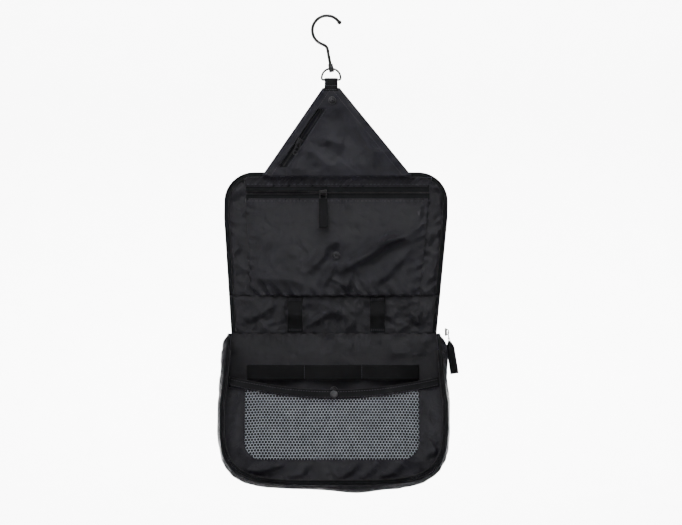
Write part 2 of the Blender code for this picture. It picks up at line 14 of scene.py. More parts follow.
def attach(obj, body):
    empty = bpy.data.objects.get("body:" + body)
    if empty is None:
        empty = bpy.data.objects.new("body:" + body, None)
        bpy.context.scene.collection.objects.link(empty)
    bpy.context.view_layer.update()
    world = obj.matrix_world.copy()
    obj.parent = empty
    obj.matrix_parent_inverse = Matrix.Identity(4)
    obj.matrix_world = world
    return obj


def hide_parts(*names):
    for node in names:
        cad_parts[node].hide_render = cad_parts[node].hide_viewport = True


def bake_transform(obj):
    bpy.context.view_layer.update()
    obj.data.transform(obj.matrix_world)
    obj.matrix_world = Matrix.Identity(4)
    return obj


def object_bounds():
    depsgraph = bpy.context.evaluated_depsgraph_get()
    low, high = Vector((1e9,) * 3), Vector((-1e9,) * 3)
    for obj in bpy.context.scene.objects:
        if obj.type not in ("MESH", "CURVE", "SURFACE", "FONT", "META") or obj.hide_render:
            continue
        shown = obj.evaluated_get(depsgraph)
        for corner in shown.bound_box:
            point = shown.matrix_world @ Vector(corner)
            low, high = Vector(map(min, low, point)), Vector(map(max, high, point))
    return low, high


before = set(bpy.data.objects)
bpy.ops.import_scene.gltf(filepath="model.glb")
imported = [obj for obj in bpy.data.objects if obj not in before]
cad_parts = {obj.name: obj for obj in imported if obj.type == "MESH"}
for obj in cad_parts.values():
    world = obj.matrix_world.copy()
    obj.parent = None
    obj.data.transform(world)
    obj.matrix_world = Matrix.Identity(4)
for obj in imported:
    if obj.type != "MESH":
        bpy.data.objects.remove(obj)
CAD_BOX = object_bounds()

MM = 0.001
TURN = 2 * math.pi
FRONT = Vector((0, -1, 0))
SMALLEST = 1e-9
WELD = 0.01 * MM
CORD = 1.5 * MM
LOG = logging.getLogger("toiletry_bag")
Point = tuple[float, float]
Place = Callable[[float, float], Vector]


# ---------------------------------------------------------------- shader maths
class Value:
    """A number socket that adds Math nodes when it is used in an expression."""

    def __init__(self, tree: bpy.types.NodeTree, socket: bpy.types.NodeSocket) -> None:
        """Wraps a socket.

        Args:
            tree: The node tree that the socket belongs to.
            socket: The output socket.
        """
        self.tree = tree
        self.socket = socket

    def _maths(self, operation: str, first: "Value | float", second: "Value | float" = 0.0) -> "Value":
        """Adds one Math node.

        Args:
            operation: The node's operation.
            first: Its first input.
            second: Its second input.

        Returns:
            The node's result.
        """
        made = self.tree.nodes.new("ShaderNodeMath")
        made.operation = operation
        for slot, given in zip(made.inputs, (first, second)):
            if isinstance(given, Value):
                self.tree.links.new(given.socket, slot)
            else:
                slot.default_value = given
        return Value(self.tree, made.outputs[0])

    def __add__(self, other: "Value | float") -> "Value":
        """The sum."""
        return self._maths("ADD", self, other)

    __radd__ = __add__

    def __sub__(self, other: "Value | float") -> "Value":
        """The difference."""
        return self._maths("SUBTRACT", self, other)

    def __rsub__(self, other: float) -> "Value":
        """The difference from a number."""
        return self._maths("SUBTRACT", other, self)

    def __mul__(self, other: "Value | float") -> "Value":
        """The product."""
        return self._maths("MULTIPLY", self, other)

    __rmul__ = __mul__

    def sine(self) -> "Value":
        """The sine of the value in radians."""
        return self._maths("SINE", self)


class Shader:
    """One material in the making, with its Principled shader."""

    def __init__(self, name: str) -> None:
        """Starts a material.

        Args:
            name: The material's name.
        """
        self.material = bpy.data.materials.new(name)
        self.material.use_nodes = True
        self.tree = self.material.node_tree
        self.surface = self.tree.nodes["Principled BSDF"]

    def node(self, kind: str, settings: dict | None = None, inputs: dict | None = None) -> bpy.types.Node:
        """Adds any node but a Math node.

        Args:
            kind: The node's type.
            settings: Its properties, or a ramp's stops under the key "stops".
            inputs: The values or links of its sockets, by name or number.

        Returns:
            The node.
        """
        made = self.tree.nodes.new(kind)
        for key, value in (settings or {}).items():
            if key == "stops":
                for index, (place, colour) in enumerate(value):
                    spot = made.color_ramp.elements
                    stop = spot[index] if index < len(spot) else spot.new(place)
                    stop.position, stop.color = place, (*colour, 1.0)
            else:
                setattr(made, key, value)
        for key, value in (inputs or {}).items():
            self.feed(made.inputs[key], value)
        return made

    def feed(self, socket: bpy.types.NodeSocket, value: object) -> None:
        """Gives a socket a link or a constant.

        Args:
            socket: The input socket.
            value: A Value, an output socket or a constant.
        """
        if isinstance(value, Value):
            self.tree.links.new(value.socket, socket)
        elif isinstance(value, bpy.types.NodeSocket):
            self.tree.links.new(value, socket)
        else:
            socket.default_value = value

    def constants(self, **given: object) -> None:
        """Sets sockets of the shader that are the same all over, named with _ for spaces."""
        for key, value in given.items():
            self.surface.inputs[key.replace("_", " ").title().replace("Ior", "IOR")].default_value = value

    def noise(self, scale: float, detail: float = 3.0, distortion: float = 0.0) -> Value:
        """Noise on Object coordinates.

        Args:
            scale: Features per metre.
            detail: The noise's octaves.
            distortion: How far it is pushed about.

        Returns:
            The noise, about 0 to 1.
        """
        where = self.node("ShaderNodeTexCoord").outputs["Object"]
        made = self.node(
            "ShaderNodeTexNoise",
            inputs={"Vector": where, "Scale": scale, "Detail": detail, "Distortion": distortion},
        )
        return Value(self.tree, made.outputs["Fac"])

    def cloth_axes(self) -> tuple[Value, Value]:
        """The two cloth coordinates in metres, from the piece's UV map."""
        where = self.node("ShaderNodeUVMap", {"uv_map": "cloth"}).outputs["UV"]
        split = self.node("ShaderNodeSeparateXYZ", inputs={"Vector": where})
        return Value(self.tree, split.outputs["X"]), Value(self.tree, split.outputs["Y"])

    def colour(self, share: Value, dark: Sequence[float], light: Sequence[float]) -> None:
        """Feeds Base Color a mix of two colours."""
        stops = [(0.3, dark), (0.7, light)]
        ramp = self.node("ShaderNodeValToRGB", {"stops": stops}, {"Fac": share})
        self.feed(self.surface.inputs["Base Color"], ramp.outputs["Color"])

    def bump(self, height: Value, distance: float) -> None:
        """Feeds Normal a bump.

        Args:
            height: The height, about 0 to 1.
            distance: The height in metres that 1 stands for.
        """
        made = self.node("ShaderNodeBump", inputs={"Height": height, "Distance": distance, "Strength": 1.0})
        self.feed(self.surface.inputs["Normal"], made.outputs["Normal"])


# ---------------------------------------------------------------- finishes
@dataclass(frozen=True)
class Nylon:
    """Plain-woven nylon with a satin sheen and a fine crinkle."""

    name: str
    dark: tuple[float, float, float] = (0.0034, 0.0030, 0.0078)
    light: tuple[float, float, float] = (0.0074, 0.0066, 0.0142)
    thread: float = 0.00045
    crinkle: float = 0.0013
    shine: float = 0.34
    slot: str = "shell_nylon"

    def build(self) -> bpy.types.Material:
        """Makes the material."""
        shader = Shader(self.name)
        along, across = shader.cloth_axes()
        weave = (along * (TURN / self.thread)).sine() * (across * (TURN / self.thread)).sine()
        broad = shader.noise(26.0, 2.0, 0.4)
        fine = shader.noise(170.0, 4.0, 0.6)
        shader.colour(broad * 0.7 + fine * 0.3, self.dark, self.light)
        shader.feed(shader.surface.inputs["Roughness"], 0.27 + broad * 0.10 + fine * 0.10)
        height = fine * 0.40 + shader.noise(48.0, 2.0, 1.4) * 1.3 + weave * 0.05
        shader.bump(height, self.crinkle)
        shader.constants(sheen_weight=0.05, sheen_roughness=0.3, specular_ior_level=self.shine)
        shader.surface.inputs["Sheen Tint"].default_value = (0.80, 0.80, 1.0, 1.0)
        return shader.material


@dataclass(frozen=True)
class Ribbed:
    """Matt webbing, binding or elastic with ribs along or across its length."""

    name: str
    dark: tuple[float, float, float] = (0.0035, 0.0035, 0.0045)
    light: tuple[float, float, float] = (0.0080, 0.0080, 0.0098)
    rib: float = 0.0011
    along_length: bool = True
    slot: str = "webbing"

    def build(self) -> bpy.types.Material:
        """Makes the material."""
        shader = Shader(self.name)
        along, across = shader.cloth_axes()
        main, other = (across, along) if self.along_length else (along, across)
        ribs = (main * (TURN / self.rib)).sine()
        ticks = (other * (TURN / (self.rib * 0.7)) + ribs * 0.8).sine()
        fuzz = shader.noise(900.0, 3.0)
        height = ribs * 0.4 + ticks * 0.25 + fuzz * 0.4
        shader.colour(fuzz * 0.6 + ribs * 0.2 + 0.2, self.dark, self.light)
        shader.feed(shader.surface.inputs["Roughness"], 0.72 + fuzz * 0.2)
        shader.bump(height, 0.00016)
        shader.constants(sheen_weight=0.02, sheen_roughness=0.6, specular_ior_level=0.18)
        return shader.material


@dataclass(frozen=True)
class Moulded:
    """Enamelled metal or moulded plastic, slightly worn where it is handled."""

    name: str
    dark: tuple[float, float, float]
    light: tuple[float, float, float]
    roughness: float = 0.35
    metallic: float = 0.0
    grain: float = 420.0
    slot: str = "black_metal"

    def build(self) -> bpy.types.Material:
        """Makes the material."""
        shader = Shader(self.name)
        grain = shader.noise(self.grain, 4.0)
        wear = shader.noise(90.0, 5.0, 0.5)
        shader.colour(wear * 0.7 + grain * 0.3, self.dark, self.light)
        shader.feed(shader.surface.inputs["Roughness"], self.roughness + grain * 0.14 + wear * 0.06)
        shader.feed(shader.surface.inputs["Coat Weight"], wear * 0.12)
        shader.bump(grain, 0.00006)
        shader.constants(metallic=self.metallic, coat_roughness=0.3)
        return shader.material


class Finish(Enum):
    """Every finish on the bag."""

    SHELL = Nylon("shell_nylon")
    FRONT = Nylon("front_nylon", (0.0030, 0.0027, 0.0062), (0.0066, 0.0060, 0.0116))
    LINING = Nylon("lining_nylon", (0.0028, 0.0026, 0.0056), (0.0062, 0.0057, 0.0104), slot="lining_nylon")
    SIDE = Nylon("side_nylon", (0.0042, 0.0040, 0.0060), (0.0085, 0.0082, 0.0115), shine=0.10)
    WEBBING = Ribbed("webbing")
    BINDING = Ribbed("binding_tape", rib=0.0014, along_length=False)
    ELASTIC = Ribbed("elastic", (0.0030, 0.0030, 0.0038), (0.0070, 0.0070, 0.0085), 0.0009, slot="elastic")
    TAPE = Ribbed("zip_tape", (0.0040, 0.0043, 0.0055), (0.0085, 0.0090, 0.0110), 0.0008, slot="zip_tape")
    THREAD = Ribbed("stitch_thread", (0.034, 0.034, 0.042), (0.062, 0.062, 0.074), 0.0006)
    COIL = Moulded("zip_coil", (0.0040, 0.0040, 0.0050), (0.0085, 0.0085, 0.0105), 0.60, slot="zip_coil")
    METAL = Moulded("black_metal", (0.003, 0.003, 0.004), (0.008, 0.008, 0.009), 0.55)
    PULLER = Moulded("puller_metal", (0.014, 0.014, 0.016), (0.036, 0.036, 0.040), 0.34, 0.5)
    SNAP = Moulded("snap_enamel", (0.035, 0.035, 0.038), (0.075, 0.075, 0.080), 0.32, 0.6, slot="snap_metal")
    SNAP_DARK = Moulded("snap_black", (0.012, 0.012, 0.014), (0.028, 0.028, 0.032), 0.30, 0.4,
                        slot="snap_metal")
    NET = Moulded("net_thread", (0.46, 0.50, 0.55), (0.66, 0.71, 0.76), 0.6, 0.0, 1500.0, "mesh_net")


_MADE: dict[Finish, bpy.types.Material] = {}


def dress(piece: bpy.types.Object, finish: Finish) -> None:
    """Gives a piece its only material."""
    if finish not in _MADE:
        _MADE[finish] = finish.value.build()
    piece.data.materials.clear()
    piece.data.materials.append(_MADE[finish])


def fitted(piece: bpy.types.Object, finish: Finish, body: str, node: str = "") -> None:
    """Finishes a piece and lets it ride on a body.

    Args:
        piece: The piece.
        finish: Its finish.
        body: The body that it rides on.
        node: The CAD node that it stands for, if it stands for one.
    """
    dress(piece, finish)
    if node:
        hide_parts(node)
    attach(piece, body)


# ---------------------------------------------------------------- mesh making
def blend(low: float, high: float, share: float) -> float:
    """The value a share of the way from low to high."""
    return low + (high - low) * share


def ease(share: float) -> float:
    """A share from 0 to 1 with a gentle start and end."""
    share = max(0.0, min(1.0, share))
    return share * share * (3 - 2 * share)


def piece_of(name: str, bm: bmesh.types.BMesh, smooth: bool = True) -> bpy.types.Object:
    """Turns a finished bmesh into an object at the origin.

    Args:
        name: The piece's name.
        bm: The mesh, which is freed.
        smooth: Whether it is shaded smooth.

    Returns:
        The object.
    """
    mesh = bpy.data.meshes.new(name)
    bm.to_mesh(mesh)
    bm.free()
    if smooth:
        mesh.shade_smooth()
    piece = bpy.data.objects.new(name, mesh)
    bpy.context.scene.collection.objects.link(piece)
    LOG.info("%s: %d faces", name, len(mesh.polygons))
    return piece


def cloth(name: str, cells: tuple[int, int], size: Point, place: Place, wall: float,
          closed: bool = False, offset: float = -1.0) -> bpy.types.Object:
    """A sheet of cloth from a grid, with its UV map in metres.

    Args:
        name: The piece's name.
        cells: Columns and rows of the grid.
        size: The cloth's width and length in metres.
        place: The point for each u and v from 0 to 1.
        wall: The cloth's thickness.
        closed: Whether its first and last columns meet.
        offset: Which side the thickness goes to, -1 for behind.

    Returns:
        The piece.
    """
    bm = bmesh.new()
    bmesh.ops.create_grid(bm, x_segments=cells[0], y_segments=cells[1], size=0.5)
    layer = bm.loops.layers.uv.new("cloth")
    for face in bm.faces:
        for loop in face.loops:
            spot = loop.vert.co
            loop[layer].uv = ((spot.x + 0.5) * size[0], (spot.y + 0.5) * size[1])
    for vert in bm.verts:
        vert.co = place(vert.co.x + 0.5, vert.co.y + 0.5)
    if closed:
        bmesh.ops.remove_doubles(bm, verts=bm.verts, dist=0.02 * MM)
    piece = piece_of(name, bm)
    thick = piece.modifiers.new("wall", "SOLIDIFY")
    thick.thickness, thick.offset, thick.use_even_offset = wall, offset, False
    return piece


def tube(name: str, path: Sequence[Vector], radius: float, closed: bool = False,
         sides: int = 3) -> bpy.types.Object:
    """A round wire, piping or cord as a mesh.

    Args:
        name: The piece's name.
        path: The points of its centre line.
        radius: Its radius.
        closed: Whether it is a ring.
        sides: The curve's bevel resolution.

    Returns:
        The piece.
    """
    curve = bpy.data.curves.new(name + "_line", "CURVE")
    curve.dimensions = "3D"
    curve.bevel_depth, curve.bevel_resolution, curve.use_fill_caps = radius, sides, True
    spline = curve.splines.new("POLY")
    spline.points.add(len(path) - 1)
    for point, spot in zip(spline.points, path):
        point.co = (*spot, 1)
    spline.use_cyclic_u = closed
    line = bpy.data.objects.new(name + "_line", curve)
    bpy.context.scene.collection.objects.link(line)
    mesh = bpy.data.meshes.new_from_object(line.evaluated_get(bpy.context.evaluated_depsgraph_get()))
    bpy.data.objects.remove(line)
    bpy.data.curves.remove(curve)
    bm = bmesh.new()
    bm.from_mesh(mesh)
    bpy.data.meshes.remove(mesh)
    bmesh.ops.remove_doubles(bm, verts=bm.verts, dist=WELD)
    bmesh.ops.recalc_face_normals(bm, faces=bm.faces)
    return piece_of(name, bm)


def turned(name: str, profile: Sequence[Point], at: Matrix, steps: int = 32) -> bpy.types.Object:
    """A turned piece about its local Z.

    Args:
        name: The piece's name.
        profile: Radius and height of each point, from the top of the axis to its foot.
        at: Where it goes.
        steps: The turn's steps.

    Returns:
        The piece.
    """
    bm = bmesh.new()
    verts = [bm.verts.new((radius, 0, height)) for radius, height in profile]
    edges = [bm.edges.new(pair) for pair in zip(verts, verts[1:])]
    bmesh.ops.spin(bm, geom=verts + edges, axis=(0, 0, 1), cent=(0, 0, 0), steps=steps,
                   angle=TURN, use_merge=True)
    bmesh.ops.remove_doubles(bm, verts=bm.verts, dist=WELD)
    bmesh.ops.recalc_face_normals(bm, faces=bm.faces)
    bmesh.ops.transform(bm, matrix=at, verts=bm.verts)
    piece = piece_of(name, bm)
    piece.data.set_sharp_from_angle(angle=math.radians(40))
    return piece


def spaced(path: Sequence[Vector], pitch: float) -> list[tuple[Vector, Vector]]:
    """Evenly spaced points and directions along a path.

    Args:
        path: The path's points.
        pitch: The distance between two results.

    Returns:
        Each point with its unit direction.
    """
    found, walked, due = [], 0.0, pitch / 2
    for first, second in zip(path, path[1:]):
        length = (second - first).length
        if length < SMALLEST:
            continue
        way = (second - first) / length
        while due <= walked + length:
            found.append((first + way * (due - walked), way))
            due += pitch
        walked += length
    return found


def beads(name: str, path: Sequence[Vector], pitch: float, size: Sequence[float],
          facing: Callable[[Vector], Vector]) -> bpy.types.Object:
    """Small blocks set along a path: a zip's teeth or a row of stitches.

    Args:
        name: The piece's name.
        path: The path's points.
        pitch: The distance between two blocks.
        size: A block's length along the path, width and height.
        facing: The direction out of the cloth at a point.

    Returns:
        The piece.
    """
    bm = bmesh.new()
    for spot, way in spaced(path, pitch):
        out = facing(spot)
        side = out.cross(way).normalized()
        out = way.cross(side)
        turn = Matrix((way * size[0], side * size[1], out * size[2])).transposed().to_4x4()
        made = bmesh.ops.create_cone(bm, cap_ends=True, segments=6, radius1=0.5, radius2=0.5, depth=1.0,
                                     matrix=Matrix.Rotation(math.pi / 2, 4, "Y"))
        bmesh.ops.transform(bm, matrix=Matrix.Translation(spot) @ turn, verts=made["verts"])
    return piece_of(name, bm)


def front_facing(_spot: Vector) -> Vector:
    """The direction out of the bag's front panels."""
    return FRONT


def frontal(x: float, y: float, z: float, up: float = 1.0) -> Matrix:
    """A place whose local Z points to the front (up 1) or the back (up -1)."""
    return Matrix.Translation((x, y, z)) @ Matrix.Rotation(math.pi / 2 * up, 4, "X")


def arc(centre: Point, radius: float, start: float, end: float, steps: int) -> list[Point]:
    """Points on an arc between two angles in degrees."""
    angles = [math.radians(blend(start, end, i / steps)) for i in range(steps + 1)]
    return [(centre[0] + radius * math.cos(a), centre[1] + radius * math.sin(a)) for a in angles]


# ---------------------------------------------------------------- folds in cloth
@dataclass(frozen=True)
class Fold:
    """A soft ridge along a line on a panel, or with a negative height a valley."""

    start: Point
    end: Point
    width: float
    height: float

    def lift(self, x: float, y: float) -> float:
        """How far the fold lifts the cloth.

        Args:
            x: Metres across the panel.
            y: Metres up the panel.

        Returns:
            The lift in metres.
        """
        (ax, ay), (bx, by) = self.start, self.end
        dx, dy = bx - ax, by - ay
        length = math.hypot(dx, dy)
        share = ((x - ax) * dx + (y - ay) * dy) / (length * length)
        if share < -0.3 or share > 1.3:
            return 0.0
        off = ((x - ax) * dy - (y - ay) * dx) / length
        bend = 0.18 * length * math.sin(share * math.pi) * 0.3
        off = (off + bend) / self.width
        taper = math.exp(-((max(abs(share - 0.5) - 0.28, 0.0) / 0.2) ** 2))
        return self.height * taper * math.exp(-off * off) * (1.0 if off > 0 else math.exp(-off * off))


@dataclass(frozen=True)
class Creases:
    """All the folds of one panel and its general unevenness."""

    folds: tuple[Fold, ...] = ()
    rumple: float = 0.5 * MM
    rumple_size: float = 24 * MM
    seed: float = 0.0

    def lift(self, x: float, y: float) -> float:
        """The lift of the cloth at a point of the panel, in metres."""
        spot = Vector((x / self.rumple_size, y / self.rumple_size, self.seed))
        soft = noise.noise(spot) + 0.5 * noise.noise(spot * 2.3)
        ridge = 0.5 - abs(noise.noise(spot * 1.4 + Vector((3.1, 7.7, 0.0))))
        total = self.rumple * (1.3 * soft + 1.5 * ridge)
        return total + 1.35 * sum(fold.lift(x, y) for fold in self.folds)


def puckers(x: float, away: float, pitch: float, height: float, reach: float, slant: float = 0.0) -> float:
    """Gathers that start at a seam and die away from it.

    Args:
        x: Metres along the seam.
        away: Metres from the seam.
        pitch: The distance between two gathers.
        height: Their height at the seam.
        reach: How far they run.
        slant: How far they lean along the seam, in metres per metre.

    Returns:
        The lift in metres.
    """
    phase = (x + slant * away) / pitch
    uneven = 0.6 + 0.8 * noise.noise(Vector((phase * 0.37, 1.7, 4.2)))
    wave = math.sin(TURN * (phase + 0.35 * noise.noise(Vector((phase * 0.5, 9.1, 0.3)))))
    return height * uneven * wave * math.exp(-abs(away) / reach)


# ---------------------------------------------------------------- zip hardware
@dataclass
class ZipSlider:
    """A slider with its bridge, wire puller and, on some, a fabric tab."""

    label: str
    pin: Vector
    out: Vector
    hang: Vector
    along: Vector
    ring: Point
    tab: Point | None = None
    plate: bool = False
    twist: float = 0.0
    pin_height: float = 3.75 * MM
    fold: float = 4.0 * MM
    wave: float = 0.35 * MM

    def _frame(self, x_axis: Vector, y_axis: Vector, at: Vector) -> Matrix:
        """A matrix from two directions and a place."""
        z_axis = x_axis.cross(y_axis).normalized()
        return Matrix.Translation(at) @ Matrix((x_axis, y_axis, z_axis)).transposed().to_4x4()

    def build(self) -> None:
        """Makes the slider and what hangs on it."""
        self._body()
        self._puller()

    def _body(self) -> None:
        """The slider's shell: a rounded wedge with a bridge over it."""
        base = self.pin - self.out * self.pin_height
        across = self.out.cross(self.along).normalized()
        at = self._frame(self.along, across, base)
        bm = bmesh.new()
        bmesh.ops.create_cube(bm, size=1.0)
        bmesh.ops.scale(bm, vec=(9.4 * MM, 7.4 * MM, 2.5 * MM), verts=bm.verts)
        bmesh.ops.translate(bm, vec=(0, 0, 1.45 * MM), verts=bm.verts)
        for vert in bm.verts:
            if vert.co.x < 0:
                vert.co.y *= 0.66
            if vert.co.z > 1.5 * MM:
                vert.co.x *= 0.86
                vert.co.y *= 0.80
        bmesh.ops.bevel(bm, geom=bm.edges, offset=0.75 * MM, segments=3, profile=0.5, affect="EDGES",
                        material=-1)
        bmesh.ops.transform(bm, matrix=at, verts=bm.verts)
        shell = piece_of(f"{self.label}_slider", bm)
        shell.data.set_sharp_from_angle(angle=math.radians(50))
        fitted(shell, Finish.METAL, f"{self.label}_slider", f"{self.label}_zip_slider")

        bow = [at @ Vector((x, 0, z)) for x, z in arc((0, 1.9 * MM), 3.1 * MM, 8, 172, 14)]
        bow = [spot - self.out * max(0.0, (spot - base).dot(self.out) - 4.6 * MM) for spot in bow]
        bridge = tube(f"{self.label}_slider_bridge", bow, 0.62 * MM)
        fitted(bridge, Finish.METAL, f"{self.label}_slider")

    def _puller(self) -> None:
        """The wire ring or punched plate, and the tab sewn to it."""
        side = self.hang.cross(self.out).normalized()
        at = self._frame(side, -self.hang, self.pin)
        width, length = self.ring
        half, round_r = width / 2, min(width * 0.3, 1.6 * MM)
        path = arc((half - round_r, -round_r), round_r, 90, 0, 6)
        path += arc((half - round_r, -length + round_r), round_r, 0, -90, 6)
        path += arc((-half + round_r, -length + round_r), round_r, -90, -180, 6)
        path += arc((-half + round_r, -round_r), round_r, 180, 90, 6)
        wire = tube(f"{self.label}_puller", [at @ Vector((x, y, 0)) for x, y in path],
                    0.55 * MM, closed=True)
        finish = Finish.PULLER if self.plate else Finish.METAL
        fitted(wire, finish, f"{self.label}_puller", f"{self.label}_zip_puller")
        if self.plate:
            for index, share in enumerate((0.42, 0.72)):
                bar = [at @ Vector((x, -length * share, 0)) for x in (-half, half)]
                rung = tube(f"{self.label}_puller_rung_{index}", bar, 0.6 * MM)
                fitted(rung, Finish.PULLER, f"{self.label}_puller")
        if self.tab:
            self._tab(at, length)

    def _tab(self, at: Matrix, top: float) -> None:
        """A folded strip of webbing round the ring's lower wire, stitched across its head."""
        width, length = self.tab
        thick = 1.7 * MM
        run = 2 * length + self.fold

        def twisted(x: float, y: float, z: float) -> Vector:
            """A point of the strip, turned about its length below the ring."""
            angle = self.twist * ease((-y - top) / (14 * MM))
            return at @ Vector((x * math.cos(angle) - z * math.sin(angle), y,
                                x * math.sin(angle) + z * math.cos(angle)))

        def place(u: float, v: float) -> Vector:
            """The strip's path: down the front, round the foot, and back up behind."""
            way = v * run
            x, head = (u - 0.5) * width, 1.2 * MM - top
            down = min(way, length, max(run - way, 0.0))
            wave = self.wave * math.sin(down / length * 4.0 + u * 2.0)
            if way < length:
                return twisted(x, head - way, thick / 2 + wave)
            if way < length + self.fold:
                turn = (way - length) / self.fold * math.pi
                foot = head - length - 0.5 * MM * math.sin(turn)
                return twisted(x, foot, thick / 2 * math.cos(turn) + wave)
            return twisted(x, head - down, wave - thick / 2)

        strip = cloth(f"{self.label}_pull_tab_cloth", (10, 64), (width, run), place, 0.55 * MM, offset=0.0)
        fitted(strip, Finish.WEBBING, f"{self.label}_puller", f"{self.label}_pull_tab")
        out = (at.to_3x3() @ Vector((0, 0, 1))).normalized()
        for index, drop in enumerate((2.6 * MM, 5.2 * MM)):
            row = [at @ Vector((width * side, -top - drop, thick / 2 + self.wave)) for side in (-0.42, 0.42)]
            seam = beads(f"{self.label}_tab_stitch_{index}", row, 1.7 * MM, (1.3 * MM, 0.4 * MM, 0.3 * MM),
                         lambda _spot: out)
            fitted(seam, Finish.THREAD, f"{self.label}_puller")


def link_of(name: str, outer: Sequence[Point], inner: Sequence[Point], depth: float, at: Matrix,
            bevel: float) -> bpy.types.Object:
    """A flat closed link with rounded edges, between two outlines with as many points.

    Args:
        name: The piece's name.
        outer: The outer outline in local X and Y.
        inner: The inner outline.
        depth: Its depth along local Z.
        at: Where it goes.
        bevel: The rounding of its edges.

    Returns:
        The piece.
    """
    count = len(outer)
    corners = [(outer, 0.5), (outer, -0.5), (inner, -0.5), (inner, 0.5)]
    bm = bmesh.new()
    bmesh.ops.create_grid(bm, x_segments=count, y_segments=4, size=0.5)
    for vert in bm.verts:
        outline, side = corners[round((vert.co.y + 0.5) * 4) % 4]
        vert.co = (*outline[round((vert.co.x + 0.5) * count) % count], side * depth)
    bmesh.ops.remove_doubles(bm, verts=bm.verts, dist=WELD)
    bmesh.ops.recalc_face_normals(bm, faces=bm.faces)
    sharp = [edge for edge in bm.edges if edge.calc_face_angle(0.0) > 1.0]
    bmesh.ops.bevel(bm, geom=sharp, offset=bevel, segments=3, profile=0.5, affect="EDGES", material=-1)
    bmesh.ops.transform(bm, matrix=at, verts=bm.verts)
    piece = piece_of(name, bm)
    piece.data.set_sharp_from_angle(angle=math.radians(45))
    return piece


def rounded(width: float, height: float, radius: float, steps: int = 5) -> list[Point]:
    """A rounded rectangle about the origin."""
    x, y = width / 2 - radius, height / 2 - radius
    path = arc((x, y), radius, 0, 90, steps) + arc((-x, y), radius, 90, 180, steps)
    return path + arc((-x, -y), radius, 180, 270, steps) + arc((x, -y), radius, 270, 360, steps)


def resampled(path: Sequence[Vector], pitch: float) -> list[Vector]:
    """A path with even steps that keeps both its ends."""
    return [path[0], *(spot for spot, _way in spaced(path, pitch)), path[-1]]


@dataclass
class ZipSide:
    """One tape of a zip with its row of coil teeth."""

    name: str
    path: list[Vector]
    out: Callable[[Vector], Vector]
    side: float
    width: float
    body: str
    node: str
    gap: Callable[[float], float] = lambda _share: 0.0
    tooth: float = 1.0 * MM
    pitch: float = 1.25 * MM
    stands: float = 0.0

    def _rails(self) -> list[tuple[Vector, Vector, Vector]]:
        """Each point of the path with its directions to the side and out of the cloth."""
        found = []
        last = len(self.path) - 1
        for index, spot in enumerate(self.path):
            way = (self.path[min(index + 1, last)] - self.path[max(index - 1, 0)]).normalized()
            out = self.out(spot)
            found.append((spot, out.cross(way).normalized() * self.side, out))
        return found

    def build(self) -> None:
        """Makes the tape and its teeth."""
        rails = self._rails()
        last = len(rails) - 1
        length = sum((b - a).length for a, b in zip(self.path, self.path[1:]))

        def place(u: float, v: float) -> Vector:
            """A point of the tape, from the teeth outwards."""
            spot, side, out = rails[round(v * last)]
            swing = self.gap(v) + u * self.width
            return spot + side * swing + out * (self.stands * (1 - u) + 0.1 * MM * math.sin(v * 90))

        tape = cloth(f"{self.name}_tape", (4, last), (self.width, length), place, 0.5 * MM)
        fitted(tape, Finish.TAPE, self.body, self.node)
        line = [
            spot + side * (self.gap(index / last) + self.tooth * 0.45) + out * (self.stands + 0.45 * MM)
            for index, (spot, side, out) in enumerate(rails)
        ]
        teeth = beads(f"{self.name}_teeth", line, self.pitch, (0.8 * MM, self.tooth, 1.1 * MM), self.out)
        fitted(teeth, Finish.COIL, self.body)


MAIN_ZIP = {"tooth": 1.3 * MM, "stands": 0.5 * MM}


def stitches(name: str, path: Sequence[Vector], body: str, pitch: float = 3.0 * MM,
             out: Callable[[Vector], Vector] = front_facing) -> None:
    """A row of stitches that rides on a body.

    Args:
        name: The piece's name.
        path: The points of the row, on the cloth's face.
        body: The body that it rides on.
        pitch: The length of one stitch with its gap.
        out: The direction out of the cloth.
    """
    fitted(beads(name, path, pitch, (pitch * 0.62, 0.55 * MM, 0.40 * MM), out), Finish.THREAD, body)


def press_stud(name: str, at: Matrix, kind: str, body: str, finish: Finish = Finish.SNAP_DARK) -> None:
    """A snap: a cap, a stud or a socket, its local Z out of the cloth.

    Args:
        name: The CAD node that it stands for.
        at: Where it goes.
        kind: "cap", "stud" or "socket".
        body: The body that it rides on.
        finish: Its finish.
    """
    profiles = {
        "cap": [(0, 1.25), (1.2, 1.3), (2.4, 1.55), (3.3, 1.45), (4.0, 1.0), (4.35, 0.4), (4.4, 0), (0, 0)],
        "stud": [(0, 2.5), (0.9, 2.45), (1.5, 2.1), (1.6, 1.7), (1.25, 1.2), (1.9, 1.0), (3.6, 0.95),
                 (4.2, 0.6), (4.4, 0), (0, 0)],
        "socket": [(0, 0.5), (1.7, 0.5), (1.85, 1.5), (2.3, 1.8), (3.3, 1.65), (3.9, 1.1), (4.4, 0.5),
                   (4.4, 0), (0, 0)],
    }
    piece = turned(f"{name}_turned", [(r * MM, h * MM) for r, h in profiles[kind]], at, 40)
    fitted(piece, finish, body, name)


